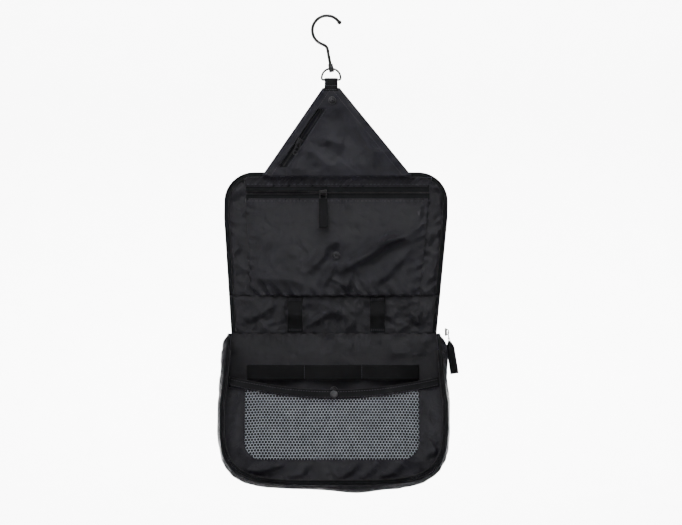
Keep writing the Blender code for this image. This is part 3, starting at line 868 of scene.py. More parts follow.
# ---------------------------------------------------------------- the hanger
@dataclass
class Hanger:
    """The wire hook with its ball tip, the swivel stirrup and the D-ring."""

    wire: float = 1.8 * MM
    bend_inner: float = 15.0 * MM
    bend_from: float = 38.0
    bend_to: float = 250.0
    lean: float = math.radians(11.0)
    ring_x: float = 4.8 * MM
    ring_z: float = -58.9 * MM
    ring_half: float = 10.85 * MM
    ring_wire: float = 1.25 * MM
    bar_z: float = -71.9 * MM
    window: Point = (6.4 * MM, 6.2 * MM)
    wall: float = 1.8 * MM
    floor: float = -2.5 * MM

    def on_shank(self, height: float) -> Vector:
        """A point on the shank's axis above the ring's top wire."""
        up = Vector((-math.sin(self.lean), 0, math.cos(self.lean)))
        return Vector((self.ring_x, 0, self.ring_z)) + up * height

    def shank_frame(self, height: float) -> Matrix:
        """A frame on the shank, its local Z up along it and local Y towards the back."""
        return Matrix.Translation(self.on_shank(height)) @ Matrix.Rotation(-self.lean, 4, "Y")

    def build(self) -> None:
        """Makes every piece of the hanger."""
        self._hook()
        self._stirrup()
        self._ring()

    def _hook(self) -> None:
        """The bent wire, its ball tip and the rivet head inside the stirrup."""
        bend = arc((0, -self.bend_inner), self.bend_inner + self.wire, self.bend_from, self.bend_to, 60)
        points = [Vector((x, 0, z)) for x, z in bend]
        turn_out = (points[-1] - points[-2]).normalized()
        reach, top = 8.0 * MM, self.on_shank(15.0 * MM)
        up = (top - self.on_shank(0)).normalized()
        first, steps = points[-1].copy(), 20
        for step in range(1, steps):
            t = step / steps
            points.append(
                first * (1 - t) ** 3 + (first + turn_out * reach) * 3 * t * (1 - t) ** 2
                + (top + up * reach) * 3 * t * t * (1 - t) + top * t ** 3
            )
        points += [top, self.on_shank(self.floor + self.window[1] - 0.2 * MM)]
        fitted(tube("hook_wire", points, self.wire, sides=6), Finish.METAL, "hook", "hook")

        ahead = (points[0] - points[1]).normalized()
        turn = ahead.to_track_quat("Z", "Y").to_matrix().to_4x4()
        at = Matrix.Translation(points[0] + ahead * 1.6 * MM) @ turn
        ball = [(2.65 * MM * x, 2.65 * MM * y) for x, y in arc((0, 0), 1.0, 90, -50, 14)]
        ball = [(abs(x), y) for x, y in ball] + [(1.5 * MM, -2.4 * MM), (0, -2.4 * MM)]
        fitted(turned("hook_tip_ball", ball, at), Finish.METAL, "hook", "hook_tip")

        head = [(0, 1.7), (1.6, 1.7), (2.3, 1.5), (2.7, 1.0), (2.7, 0.5), (2.3, 0.1), (1.6, 0), (0, 0)]
        at = self.shank_frame(self.floor + self.window[1] - 2.0 * MM)
        rivet = turned("shank_rivet_head", [(r * MM, h * MM) for r, h in head], at)
        fitted(rivet, Finish.METAL, "hook", "shank_rivet")

    def _stirrup(self) -> None:
        """The swivel link that hangs on the shank and carries the ring."""
        across, tall = self.window
        turn = Matrix.Rotation(math.pi / 2, 4, "X") @ Matrix.Rotation(math.pi / 2, 4, "Y")
        at = self.shank_frame(self.floor + tall / 2) @ turn
        outer = rounded(across + 2 * self.wall, tall + 2 * self.wall, 3.2 * MM)
        inner = rounded(across, tall, 1.8 * MM)
        link = link_of("swivel_link", outer, inner, 5.8 * MM, at, 0.6 * MM)
        fitted(link, Finish.METAL, "swivel", "swivel_stirrup")

    def _ring(self) -> None:
        """The D-ring: an arch over a straight bar."""
        corner = 2.0 * MM
        left, right = self.ring_x - self.ring_half, self.ring_x + self.ring_half
        path = arc((self.ring_x, self.ring_z - self.ring_half), self.ring_half, 0, 180, 40)
        path += arc((left + corner, self.bar_z + corner), corner, 180, 270, 8)
        path += arc((right - corner, self.bar_z + corner), corner, 270, 360, 8)
        ring = tube("d_ring_wire", [Vector((x, 0, z)) for x, z in path], self.ring_wire, True, 5)
        fitted(ring, Finish.METAL, "ring", "d_ring")


# ---------------------------------------------------------------- the flap
@dataclass
class Flap:
    """The triangular flap with its webbing loop, slanted zip and snap."""

    top_x: float = 4.8 * MM
    top_half: float = 9.8 * MM
    top_z: float = -81.0 * MM
    fold_z: float = -184.0 * MM
    base_x: Point = (-76.0 * MM, 99.0 * MM)
    zip_top: Point = (-8.0 * MM, -107.5 * MM)
    zip_low: Point = (-49.5 * MM, -170.0 * MM)
    slot_half: float = 4.6 * MM
    slider_share: float = 0.58
    snap: Point = (6.0 * MM, -95.6 * MM)
    thick: float = 0.95 * MM
    face_y: float = -1.2 * MM
    creases: Creases = Creases(
        folds=(
            Fold((0.030, -0.118), (0.060, -0.178), 7 * MM, 2.6 * MM),
            Fold((0.052, -0.150), (0.082, -0.176), 5 * MM, 1.8 * MM),
            Fold((-0.018, -0.138), (0.022, -0.150), 6 * MM, 1.6 * MM),
            Fold((-0.030, -0.150), (0.010, -0.176), 6 * MM, 1.4 * MM),
            Fold((0.012, -0.110), (0.034, -0.160), 9 * MM, -1.2 * MM),
            Fold((-0.062, -0.172), (-0.020, -0.180), 5 * MM, 1.4 * MM),
            Fold((0.002, -0.130), (-0.012, -0.168), 6 * MM, 1.0 * MM),
        ),
        rumple=1.0 * MM,
        rumple_size=20 * MM,
        seed=2.0,
    )

    def edge(self, z: float, side: int) -> float:
        """The flap's side edge at a height, 0 for the left and 1 for the right."""
        share = (z - self.top_z) / (self.fold_z - self.top_z)
        start = self.top_x + (2 * side - 1) * self.top_half
        return blend(start, self.base_x[side], share)

    def zip_x(self, z: float) -> float:
        """The zip's line, carried on above and below its ends."""
        (ax, az), (bx, bz) = self.zip_top, self.zip_low
        return blend(ax, bx, (z - az) / (bz - az))

    def loft(self, x: float, z: float) -> float:
        """How far the flap's face stands forward of its plane."""
        rim = min(x - self.edge(z, 0), self.edge(z, 1) - x, self.top_z - z)
        calm = ease(rim / (9 * MM))
        lift = self.creases.lift(x, z) * calm + 1.5 * MM * ease(rim / (26 * MM))
        near_zip = ease((abs(x - self.zip_x(z)) - 5 * MM) / (9 * MM))
        lift = blend(1.0 * MM * ease(rim / (12 * MM)), lift, near_zip)
        close = math.hypot(x - self.snap[0], z - self.snap[1])
        lift = blend(0.6 * MM, lift, ease((close - 4.5 * MM) / (8 * MM)))
        toward_base = ease((self.fold_z + 16 * MM - z) / (16 * MM))
        gathers = puckers(x, z - self.fold_z, 11 * MM, 0.8 * MM, 9 * MM, 0.9)
        return lift * (1 - toward_base) + toward_base * (1.1 * MM + gathers)

    def on_face(self, x: float, z: float, proud: float = 0.0) -> Vector:
        """A point of the flap's face, or just in front of it."""
        return Vector((x, self.face_y - self.loft(x, z) - proud, z))

    def build(self) -> None:
        """Makes every piece of the flap."""
        self._front()
        self._back()
        self._seams()
        self._loop()
        self._zip()
        for y, up, kind in ((-2.0 * MM, 1, "stud"), (1.4 * MM, -1, "cap")):
            press_stud(f"flap_snap_{kind}", frontal(self.snap[0], y, self.snap[1], up), kind, "flap")

    def _front(self) -> None:
        """The front sheet, slit for the zip, in a grid whose columns follow the slit."""
        columns, rows = (26, 5, 44), (15, 34, 8)
        heights = [self.top_z, self.zip_top[1] + 2 * MM, self.zip_low[1] - 2 * MM, self.fold_z + 1.0 * MM]

        def stepped(share: float, counts: Sequence[int], stops: Sequence[float]) -> float:
            """The value at a share of the grid's cells, linear between stops."""
            cell = share * sum(counts)
            for count, low, high in zip(counts, stops, stops[1:]):
                if cell <= count + 1e-6:
                    return blend(low, high, cell / count)
                cell -= count
            return stops[-1]

        def place(u: float, v: float) -> Vector:
            """A point of the front sheet."""
            z = stepped(1 - v, rows, heights)
            middle = self.zip_x(z)
            x = stepped(u, columns, [self.edge(z, 0), middle - self.slot_half, middle + self.slot_half,
                                     self.edge(z, 1)])
            return self.on_face(x, z)

        piece = cloth("flap_front_cloth", (sum(columns), sum(rows)), (0.155, 0.104), place, self.thick)
        bm = bmesh.new()
        bm.from_mesh(piece.data)
        centres = [(face, face.calc_center_median()) for face in bm.faces]
        inside = [face for face, spot in centres
                  if heights[2] < spot.z < heights[1] and abs(spot.x - self.zip_x(spot.z)) < self.slot_half]
        bmesh.ops.delete(bm, geom=inside, context="FACES")
        bm.to_mesh(piece.data)
        bm.free()
        fitted(piece, Finish.SHELL, "flap", "flap_front")

    def _back(self) -> None:
        """The back sheet."""

        def place(u: float, v: float) -> Vector:
            """A point of the back sheet."""
            z = blend(self.top_z, self.fold_z + 1.0 * MM, v)
            x = blend(self.edge(z, 0), self.edge(z, 1), u)
            rim = min(x - self.edge(z, 0), self.edge(z, 1) - x)
            return Vector((x, 0.3 * MM + 0.5 * self.creases.lift(x + 0.2, z) * ease(rim / (10 * MM)), z))

        piece = cloth("flap_back_cloth", (90, 56), (0.155, 0.104), place, self.thick, offset=1.0)
        fitted(piece, Finish.SHELL, "flap", "flap_back")

    def _seams(self) -> None:
        """Topstitching inside the two slanted edges and along the zip's slit."""
        low, high = self.fold_z + 3 * MM, self.top_z - 3 * MM
        for side, label in ((0, "left"), (1, "right")):
            for row, inset in enumerate((2.4 * MM, 8.0 * MM)):
                path = []
                for step in range(41):
                    z = blend(high, low, step / 40)
                    x = self.edge(z, side) + (1 - 2 * side) * inset * 1.3
                    if self.edge(z, 0) + 2 * MM < x < self.edge(z, 1) - 2 * MM:
                        path.append(self.on_face(x, z, 0.1 * MM))
                stitches(f"flap_stitch_{label}_{row}", path, "flap", 2.6 * MM)
        for side, label in ((-1, "left"), (1, "right")):
            path = []
            for step in range(31):
                z = blend(self.zip_top[1] + 2 * MM, self.zip_low[1] - 2 * MM, step / 30)
                x = self.zip_x(z) + side * (self.slot_half + 1.6 * MM)
                path.append(self.on_face(x, z, 0.1 * MM))
            stitches(f"flap_zip_stitch_{label}", path, "flap", 2.4 * MM)

    def _loop(self) -> None:
        """The webbing that folds over the ring's bar and is sewn into the flap's tip."""
        bore, leg = 1.75 * MM, 13.0 * MM
        width = 15.8 * MM
        bar = Vector((self.top_x, 0, -71.9 * MM))
        turn = math.pi * bore
        run = 2 * leg + turn

        def place(u: float, v: float) -> Vector:
            """A point of the folded webbing."""
            way = v * run
            x = self.top_x + (u - 0.5) * width * (1 - 0.05 * math.sin(v * math.pi))
            if way < leg:
                return Vector((x, -blend(0.9 * MM, bore, ease(way / leg)), bar.z - leg + way))
            if way < leg + turn:
                angle = (way - leg) / turn * math.pi
                return Vector((x, -bore * math.cos(angle), bar.z + bore * math.sin(angle)))
            back = way - leg - turn
            return Vector((x, blend(bore, 0.9 * MM, ease(back / leg)), bar.z - back))

        strip = cloth("webbing_loop_strip", (10, 48), (width, run), place, 1.1 * MM, offset=0.0)
        fitted(strip, Finish.WEBBING, "flap", "webbing_loop")
        for index, (y, z) in enumerate(((-2.1 * MM, -78.6 * MM), (-1.5 * MM, -83.2 * MM))):
            row = [Vector((x, y, z)) for x in (self.top_x - width * 0.42, self.top_x + width * 0.42)]
            stitches(f"webbing_stitch_{index}", row, "flap", 2.2 * MM)

    def _zip(self) -> None:
        """The slanted zip, open above its slider."""
        steps = 52
        line = []
        for step in range(steps + 1):
            z = blend(self.zip_top[1] + 1.5 * MM, self.zip_low[1] - 1.5 * MM, step / steps)
            line.append(Vector((self.zip_x(z), -0.9 * MM, z)))
        share = self.slider_share

        def open_gap(at: float) -> float:
            """Half the opening at a share of the zip."""
            if at >= share:
                return 0.0
            return 1.9 * MM * math.sin(math.pi * min(1.0, (at / share) ** 0.8)) ** 0.7

        for side, label, node in ((1, "left", "flap_zip_tape"), (-1, "right", "flap_zip_coil")):
            ZipSide(f"flap_zip_{label}", line, front_facing, side, 5.4 * MM, "flap", node, open_gap).build()
        (ax, az), (bx, bz) = self.zip_top, self.zip_low
        along = Vector((ax - bx, 0, az - bz)).normalized()
        x, z = blend(ax, bx, share), blend(az, bz, share)
        hang = Vector((-0.30, -0.05, -0.95)).normalized()
        ZipSlider("flap", pin=Vector((x, -5.35 * MM, z)), out=FRONT, hang=hang, along=along,
                  ring=(4.8 * MM, 15.0 * MM), plate=True).build()


# ---------------------------------------------------------------- the lid and the top strip
@dataclass
class LidShape:
    """The outline shared by the lid and the top strip below it."""

    middle: float = 8.0 * MM
    lean: float = 3.0 * MM
    top_z: float = -178.0 * MM
    fold_z: float = -319.8 * MM
    hinge_z: float = -363.5 * MM
    corner: float = 34.0 * MM
    halves: Point = (118.0 * MM, 128.5 * MM)
    piping: float = 1.3 * MM
    band: float = 6.0 * MM
    face_y: float = 2.6 * MM
    piping_y: float = 4.6 * MM
    tape_y: float = 3.2 * MM
    tape_trim: float = 1.8 * MM

    def side(self, z: float, side: int) -> float:
        """The straight part of the outer edge, -1 for the left and 1 for the right."""
        rise = (z - self.hinge_z) / (self.top_z - self.hinge_z)
        return self.middle + self.lean * rise + side * blend(*self.halves, min(1.0, rise / 0.72))

    def edge(self, z: float, side: int, inset: float) -> float:
        """The outer edge with its rounded upper corner, moved inwards."""
        radius = self.corner - inset
        turn_z = self.top_z - inset - radius
        x = self.side(min(z, turn_z), side) - side * inset
        if z <= turn_z:
            return x
        return x - side * (radius - math.sqrt(max(0.0, radius ** 2 - (z - turn_z) ** 2)))

    def height(self, v: float, inset: float, low: float) -> float:
        """The height of a row, with the rows closer together in the corners."""
        radius = self.corner - inset
        turn_z = self.top_z - inset - radius
        if v < 0.76:
            return blend(low, turn_z, v / 0.76)
        return turn_z + radius * math.sin((v - 0.76) / 0.24 * math.pi / 2)

    def spot(self, u: float, v: float, inset: float, low: float) -> tuple[float, float, float]:
        """The X and Z of a sheet's point, and how far it is from the edge."""
        z = self.height(v, inset, low)
        left, right = self.edge(z, -1, inset), self.edge(z, 1, inset)
        x = blend(left, right, u)
        return x, z, min(x - left, right - x, self.top_z - inset - z)

    def rim(self, inset: float, low: float, y: float) -> list[Vector]:
        """The edge from the lower left over the top to the lower right."""
        radius = self.corner - inset
        turn_z = self.top_z - inset - radius
        left, right = self.side(turn_z, -1) + inset, self.side(turn_z, 1) - inset
        rows = [blend(low, turn_z, step / 24) for step in range(24)]
        path = [(self.side(z, -1) + inset, z) for z in rows]
        path += arc((left + radius, turn_z), radius, 180, 90, 14)
        path += arc((right - radius, turn_z), radius, 90, 0, 14)
        path += [(self.side(z, 1) - inset, z) for z in reversed(rows)]
        return [Vector((x, y, z)) for x, z in path]


@dataclass
class Lid:
    """The lid: lining, outer cloth, edge zip, piping and the zipped pocket."""

    shape: LidShape = field(default_factory=LidShape)
    pocket_top: Point = (-94.9 * MM, 120.0 * MM)
    pocket_base: Point = (-87.4 * MM, 107.0 * MM)
    pocket_top_z: float = -186.5 * MM
    zip_z: float = -201.4 * MM
    zip_half: float = 8.0 * MM
    slider_x: float = -4.6 * MM
    snap: Point = (10.5 * MM, -273.8 * MM)
    snap_lift: float = 0.2 * MM
    tab_low: float = -244.0 * MM
    creases: Creases = Creases(
        folds=(
            Fold((0.112, -0.216), (0.012, -0.292), 9 * MM, 4.6 * MM),
            Fold((0.110, -0.236), (0.062, -0.262), 7 * MM, 3.0 * MM),
            Fold((-0.040, -0.208), (-0.088, -0.240), 8 * MM, 3.6 * MM),
            Fold((-0.056, -0.232), (-0.092, -0.252), 6 * MM, 2.6 * MM),
            Fold((0.024, -0.212), (0.036, -0.238), 5 * MM, 1.6 * MM),
            Fold((0.010, -0.280), (-0.006, -0.308), 6 * MM, 2.4 * MM),
            Fold((0.002, -0.262), (-0.020, -0.290), 7 * MM, 1.6 * MM),
            Fold((0.026, -0.312), (0.006, -0.298), 4 * MM, 2.2 * MM),
            Fold((-0.078, -0.300), (-0.020, -0.308), 6 * MM, 2.0 * MM),
            Fold((0.086, -0.276), (0.058, -0.304), 6 * MM, 2.0 * MM),
        ),
        rumple=1.0 * MM,
        rumple_size=26 * MM,
        seed=5.0,
    )
    margin: Creases = Creases(rumple=1.6 * MM, rumple_size=17 * MM, seed=9.0)

    def pocket_x(self, z: float, side: int) -> float:
        """The pocket's side edge, 0 for the left and 1 for the right."""
        share = (z - self.pocket_top_z) / (self.shape.fold_z - self.pocket_top_z)
        return blend(self.pocket_top[side], self.pocket_base[side], share)

    def pocket_lift(self, x: float, z: float) -> float:
        """How far the pocket's face stands forward of its plane."""
        zip_low = self.zip_z - self.zip_half
        rim = min(x - self.pocket_x(z, 0), self.pocket_x(z, 1) - x)
        lift = self.creases.lift(x, z) * ease(rim / (12 * MM)) * ease((zip_low - z) / (10 * MM))
        lift += 1.8 * MM * ease(rim / (30 * MM)) * ease((zip_low - z) / (26 * MM))
        lift += puckers(x, zip_low - z, 7.5 * MM, 0.9 * MM, 9 * MM)
        lift += puckers(x, z - self.shape.fold_z, 13 * MM, 2.2 * MM, 14 * MM, 0.7)
        lift += puckers(z, rim, 12 * MM, 0.9 * MM, 10 * MM, 0.4)
        calm = 1.8 * MM * math.tanh(lift / (1.8 * MM))
        lift = blend(calm, lift, ease((self.tab_low - z) / (14 * MM)))
        close = math.hypot(x - self.snap[0], z - self.snap[1])
        spokes = math.sin(5 * math.atan2(z - self.snap[1], x - self.snap[0]) + 0.7)
        lift -= 1.1 * spokes * MM * math.exp(-((close / (15 * MM)) ** 2))
        return blend(self.snap_lift, lift, ease((close - 4.6 * MM) / (11 * MM)))

    def build(self) -> None:
        """Makes every piece of the lid."""
        self._lining()
        self._outer()
        self._rim()
        self._pocket()
        self._zip()

    def _lining(self) -> None:
        """The face cloth, whose margin shows round the pocket."""
        shape, low, inset = self.shape, self.shape.fold_z - 0.2 * MM, 2.2 * MM

        def place(u: float, v: float) -> Vector:
            """A point of the lining."""
            x, z, rim = shape.spot(u, v, inset, low)
            under = min(x - self.pocket_x(z, 0), self.pocket_x(z, 1) - x, self.pocket_top_z - z)
            lift = self.margin.lift(x, z) + 1.2 * MM
            lift += puckers(z, rim, 13 * MM, 1.4 * MM, 9 * MM, 0.6)
            lift *= ease(rim / (7 * MM)) * (1 - ease((under + 1 * MM) / (5 * MM)))
            return Vector((x, 4.4 * MM - lift, z))

        piece = cloth("lid_lining_cloth", (150, 96), (0.25, 0.142), place, 0.9 * MM)
        fitted(piece, Finish.LINING, "lid", "lid_lining")

    def _outer(self) -> None:
        """The outer cloth at the back."""
        shape, low, inset = self.shape, self.shape.fold_z - 0.2 * MM, 1.8 * MM

        def place(u: float, v: float) -> Vector:
            """A point of the outer cloth."""
            x, z, rim = shape.spot(u, v, inset, low)
            return Vector((x, 6.2 * MM + self.margin.lift(x + 0.4, z) * 0.6 * ease(rim / (14 * MM)), z))

        piece = cloth("lid_outer_cloth", (110, 72), (0.25, 0.142), place, 1.1 * MM, offset=1.0)
        fitted(piece, Finish.SHELL, "lid", "lid_outer")

    def _rim(self) -> None:
        """The piping round the edge, and the half of the main zip that is sewn beside it."""
        shape, low = self.shape, self.shape.fold_z - 0.2 * MM
        piping = tube("lid_piping_cord", shape.rim(shape.piping, low, shape.piping_y), CORD, sides=4)
        fitted(piping, Finish.WEBBING, "lid", "lid_piping")
        line = resampled(shape.rim(shape.band, low + shape.tape_trim, shape.tape_y), 2.4 * MM)
        ZipSide("lid_edge_coil", line, front_facing, 1, 3.6 * MM, "lid", "lid_edge_zip_tape",
                **MAIN_ZIP).build()

    def _pocket(self) -> None:
        """The header above the pocket's zip and the gathered pocket below it."""
        face, zip_high = self.shape.face_y, self.zip_z + self.zip_half
        zip_low = self.zip_z - self.zip_half

        def header(u: float, v: float) -> Vector:
            """A point of the header."""
            z = blend(zip_high - 1.2 * MM, self.pocket_top_z + 3 * MM, v)
            x = blend(self.pocket_x(z, 0), self.pocket_x(z, 1), u)
            away = z - zip_high
            lift = puckers(x, 8 * MM - away, 8.5 * MM, 1.5 * MM, 6 * MM, 0.9) + 0.5 * MM
            lift += 0.3 * MM * noise.noise(Vector((x / 0.02, z / 0.02, 3)))
            return Vector((x, face - lift * ease((v + 0.2) * 3), z))

        def panel(u: float, v: float) -> Vector:
            """A point of the pocket."""
            z = blend(self.shape.fold_z - 0.2 * MM, zip_low + 1.2 * MM, v)
            x = blend(self.pocket_x(z, 0), self.pocket_x(z, 1), u)
            return Vector((x, face - 0.4 * MM - self.pocket_lift(x, z), z))

        top = cloth("lid_pocket_header_cloth", (150, 12), (0.214, 0.012), header, 0.9 * MM)
        bag = cloth("lid_pocket_cloth", (150, 88), (0.21, 0.115), panel, 0.9 * MM)
        for piece, node in ((top, "lid_pocket_header"), (bag, "lid_pocket_panel")):
            fitted(piece, Finish.FRONT, "lid", node)
        press_stud("lid_snap_socket", frontal(self.snap[0], face - 0.5 * MM - self.snap_lift, self.snap[1]),
                    "socket", "lid")
        for row, (z, pitch) in enumerate(((zip_high + 1.6 * MM, 4.4), (zip_low - 1.6 * MM, 4.4),
                                          (zip_high + 9.5 * MM, 3.8))):
            path = []
            for step in range(61):
                x = blend(self.pocket_x(z, 0) + 2 * MM, self.pocket_x(z, 1) - 2 * MM, step / 60)
                y = face - 0.5 * MM - (self.pocket_lift(x, z) if z < self.zip_z else 0.45 * MM)
                path.append(Vector((x, y, z)))
            stitches(f"lid_pocket_stitch_{row}", path, "lid", pitch * MM)

    def _zip(self) -> None:
        """The pocket's zip, open to the left of its slider."""
        left, right = self.pocket_x(self.zip_z, 0), self.pocket_x(self.zip_z, 1)
        steps = 110
        line = [Vector((blend(left + 1 * MM, right - 1 * MM, i / steps), 2.9 * MM, self.zip_z))
                for i in range(steps + 1)]
        share = (self.slider_x - left) / (right - left)

        def open_gap(at: float) -> float:
            """Half the opening at a share of the zip."""
            if at >= share:
                return 0.0
            return 1.15 * MM * min(1.0, (share - at) / 0.16) ** 0.6

        for side, label, node in ((1, "upper", "lid_zip_tape"), (-1, "lower", "lid_zip_coil")):
            ZipSide(f"lid_zip_{label}", line, front_facing, side, 9.0 * MM, "lid", node, open_gap).build()
        hang = Vector((0.02, -0.06, -1)).normalized()
        ZipSlider("lid", pin=Vector((self.slider_x, -1.4 * MM, self.zip_z)), out=FRONT, hang=hang,
                  along=Vector((1, 0, 0)), ring=(7.0 * MM, 8.0 * MM), tab=(10.0 * MM, 33.0 * MM)).build()


@dataclass
class TopStrip:
    """The strip between lid and body, with two elastic toothbrush loops."""

    shape: LidShape = field(default_factory=LidShape)
    loops: Point = (-36.6 * MM, 58.0 * MM)
    loop_width: float = 17.6 * MM
    bow: float = 6.0 * MM
    creases: Creases = Creases(
        folds=(
            Fold((-0.004, -0.330), (0.034, -0.358), 6 * MM, 2.6 * MM),
            Fold((-0.020, -0.352), (0.016, -0.336), 5 * MM, 2.0 * MM),
            Fold((-0.060, -0.328), (-0.098, -0.350), 6 * MM, 2.2 * MM),
            Fold((0.082, -0.328), (0.110, -0.354), 6 * MM, 2.4 * MM),
        ),
        rumple=1.2 * MM,
        rumple_size=15 * MM,
        seed=13.0,
    )

    def _sheet(self, name: str, node: str, y: float, front: bool, finish: Finish) -> None:
        """One face of the strip."""
        high, low = self.shape.fold_z + 0.2 * MM, self.shape.hinge_z - 0.2 * MM

        def place(u: float, v: float) -> Vector:
            """A point of the face."""
            z = blend(low, high, v)
            x = blend(self.shape.side(z, -1) + 2 * MM, self.shape.side(z, 1) - 2 * MM, u)
            rim = min(u, 1 - u) * 0.23
            calm = ease(rim / (8 * MM)) * ease(min(z - low, high - z) / (7 * MM))
            if not front:
                return Vector((x, y + 0.5 * self.creases.lift(x, z) * calm, z))
            lift = self.creases.lift(x, z) * calm + puckers(x, high - z, 9 * MM, 0.9 * MM, 8 * MM, 0.6) * calm
            near = min(abs(x - loop) for loop in self.loops)
            return Vector((x, y - lift * ease((near - 4 * MM) / (9 * MM)), z))

        piece = cloth(name, (140, 30), (0.236, 0.044), place, 0.9 * MM, offset=-1.0 if front else 1.0)
        fitted(piece, finish, "top", node)

    def build(self) -> None:
        """Makes every piece of the strip."""
        shape = self.shape
        self._sheet("top_lining_cloth", "top_lining", shape.face_y + 0.6 * MM, True, Finish.LINING)
        self._sheet("top_panel_cloth", "top_panel", 5.6 * MM, False, Finish.SHELL)
        high, low = shape.fold_z, shape.hinge_z
        for side, label in ((-1, "left"), (1, "right")):
            rows = [blend(low + shape.tape_trim, high - shape.tape_trim, step / 18) for step in range(19)]
            line = [Vector((shape.side(z, side) - side * shape.band, shape.tape_y, z)) for z in rows]
            ZipSide(f"top_zip_{label}", line, front_facing, -side, 3.6 * MM, "top", f"top_zip_tape_{label}",
                    **MAIN_ZIP).build()
            cord = [Vector((shape.side(z, side) - side * shape.piping, shape.piping_y, z))
                    for z in (high, low)]
            fitted(tube(f"top_piping_{label}", cord, CORD, sides=4), Finish.WEBBING, "top")
        for x, label in zip(self.loops, ("left", "right")):
            self._loop(x, label)

    def _loop(self, x: float, label: str) -> None:
        """One elastic loop, sewn above and below and bowed forward between."""
        high, low = self.shape.fold_z - 1.8 * MM, self.shape.hinge_z + 1.8 * MM

        def place(u: float, v: float) -> Vector:
            """A point of the loop."""
            lift = self.bow * ease(1 - abs(v - 0.5) / 0.40)
            narrow = 1 - 0.06 * math.sin(math.pi * v)
            return Vector((x + (u - 0.5) * self.loop_width * narrow, self.shape.face_y - 0.4 * MM - lift,
                           blend(low, high, v)))

        strip = cloth(f"toothbrush_loop_{label}_strip", (12, 30), (self.loop_width, 0.043), place, 1.0 * MM)
        fitted(strip, Finish.ELASTIC, "top", f"toothbrush_loop_{label}")
        for row, z in enumerate((high - 1.4 * MM, high - 3.2 * MM, low + 1.4 * MM, low + 3.2 * MM)):
            ends = [Vector((x + side * self.loop_width, self.shape.face_y - 0.6 * MM, z))
                    for side in (-0.44, 0.44)]
            stitches(f"toothbrush_stitch_{label}_{row}", ends, "top", 2.2 * MM)


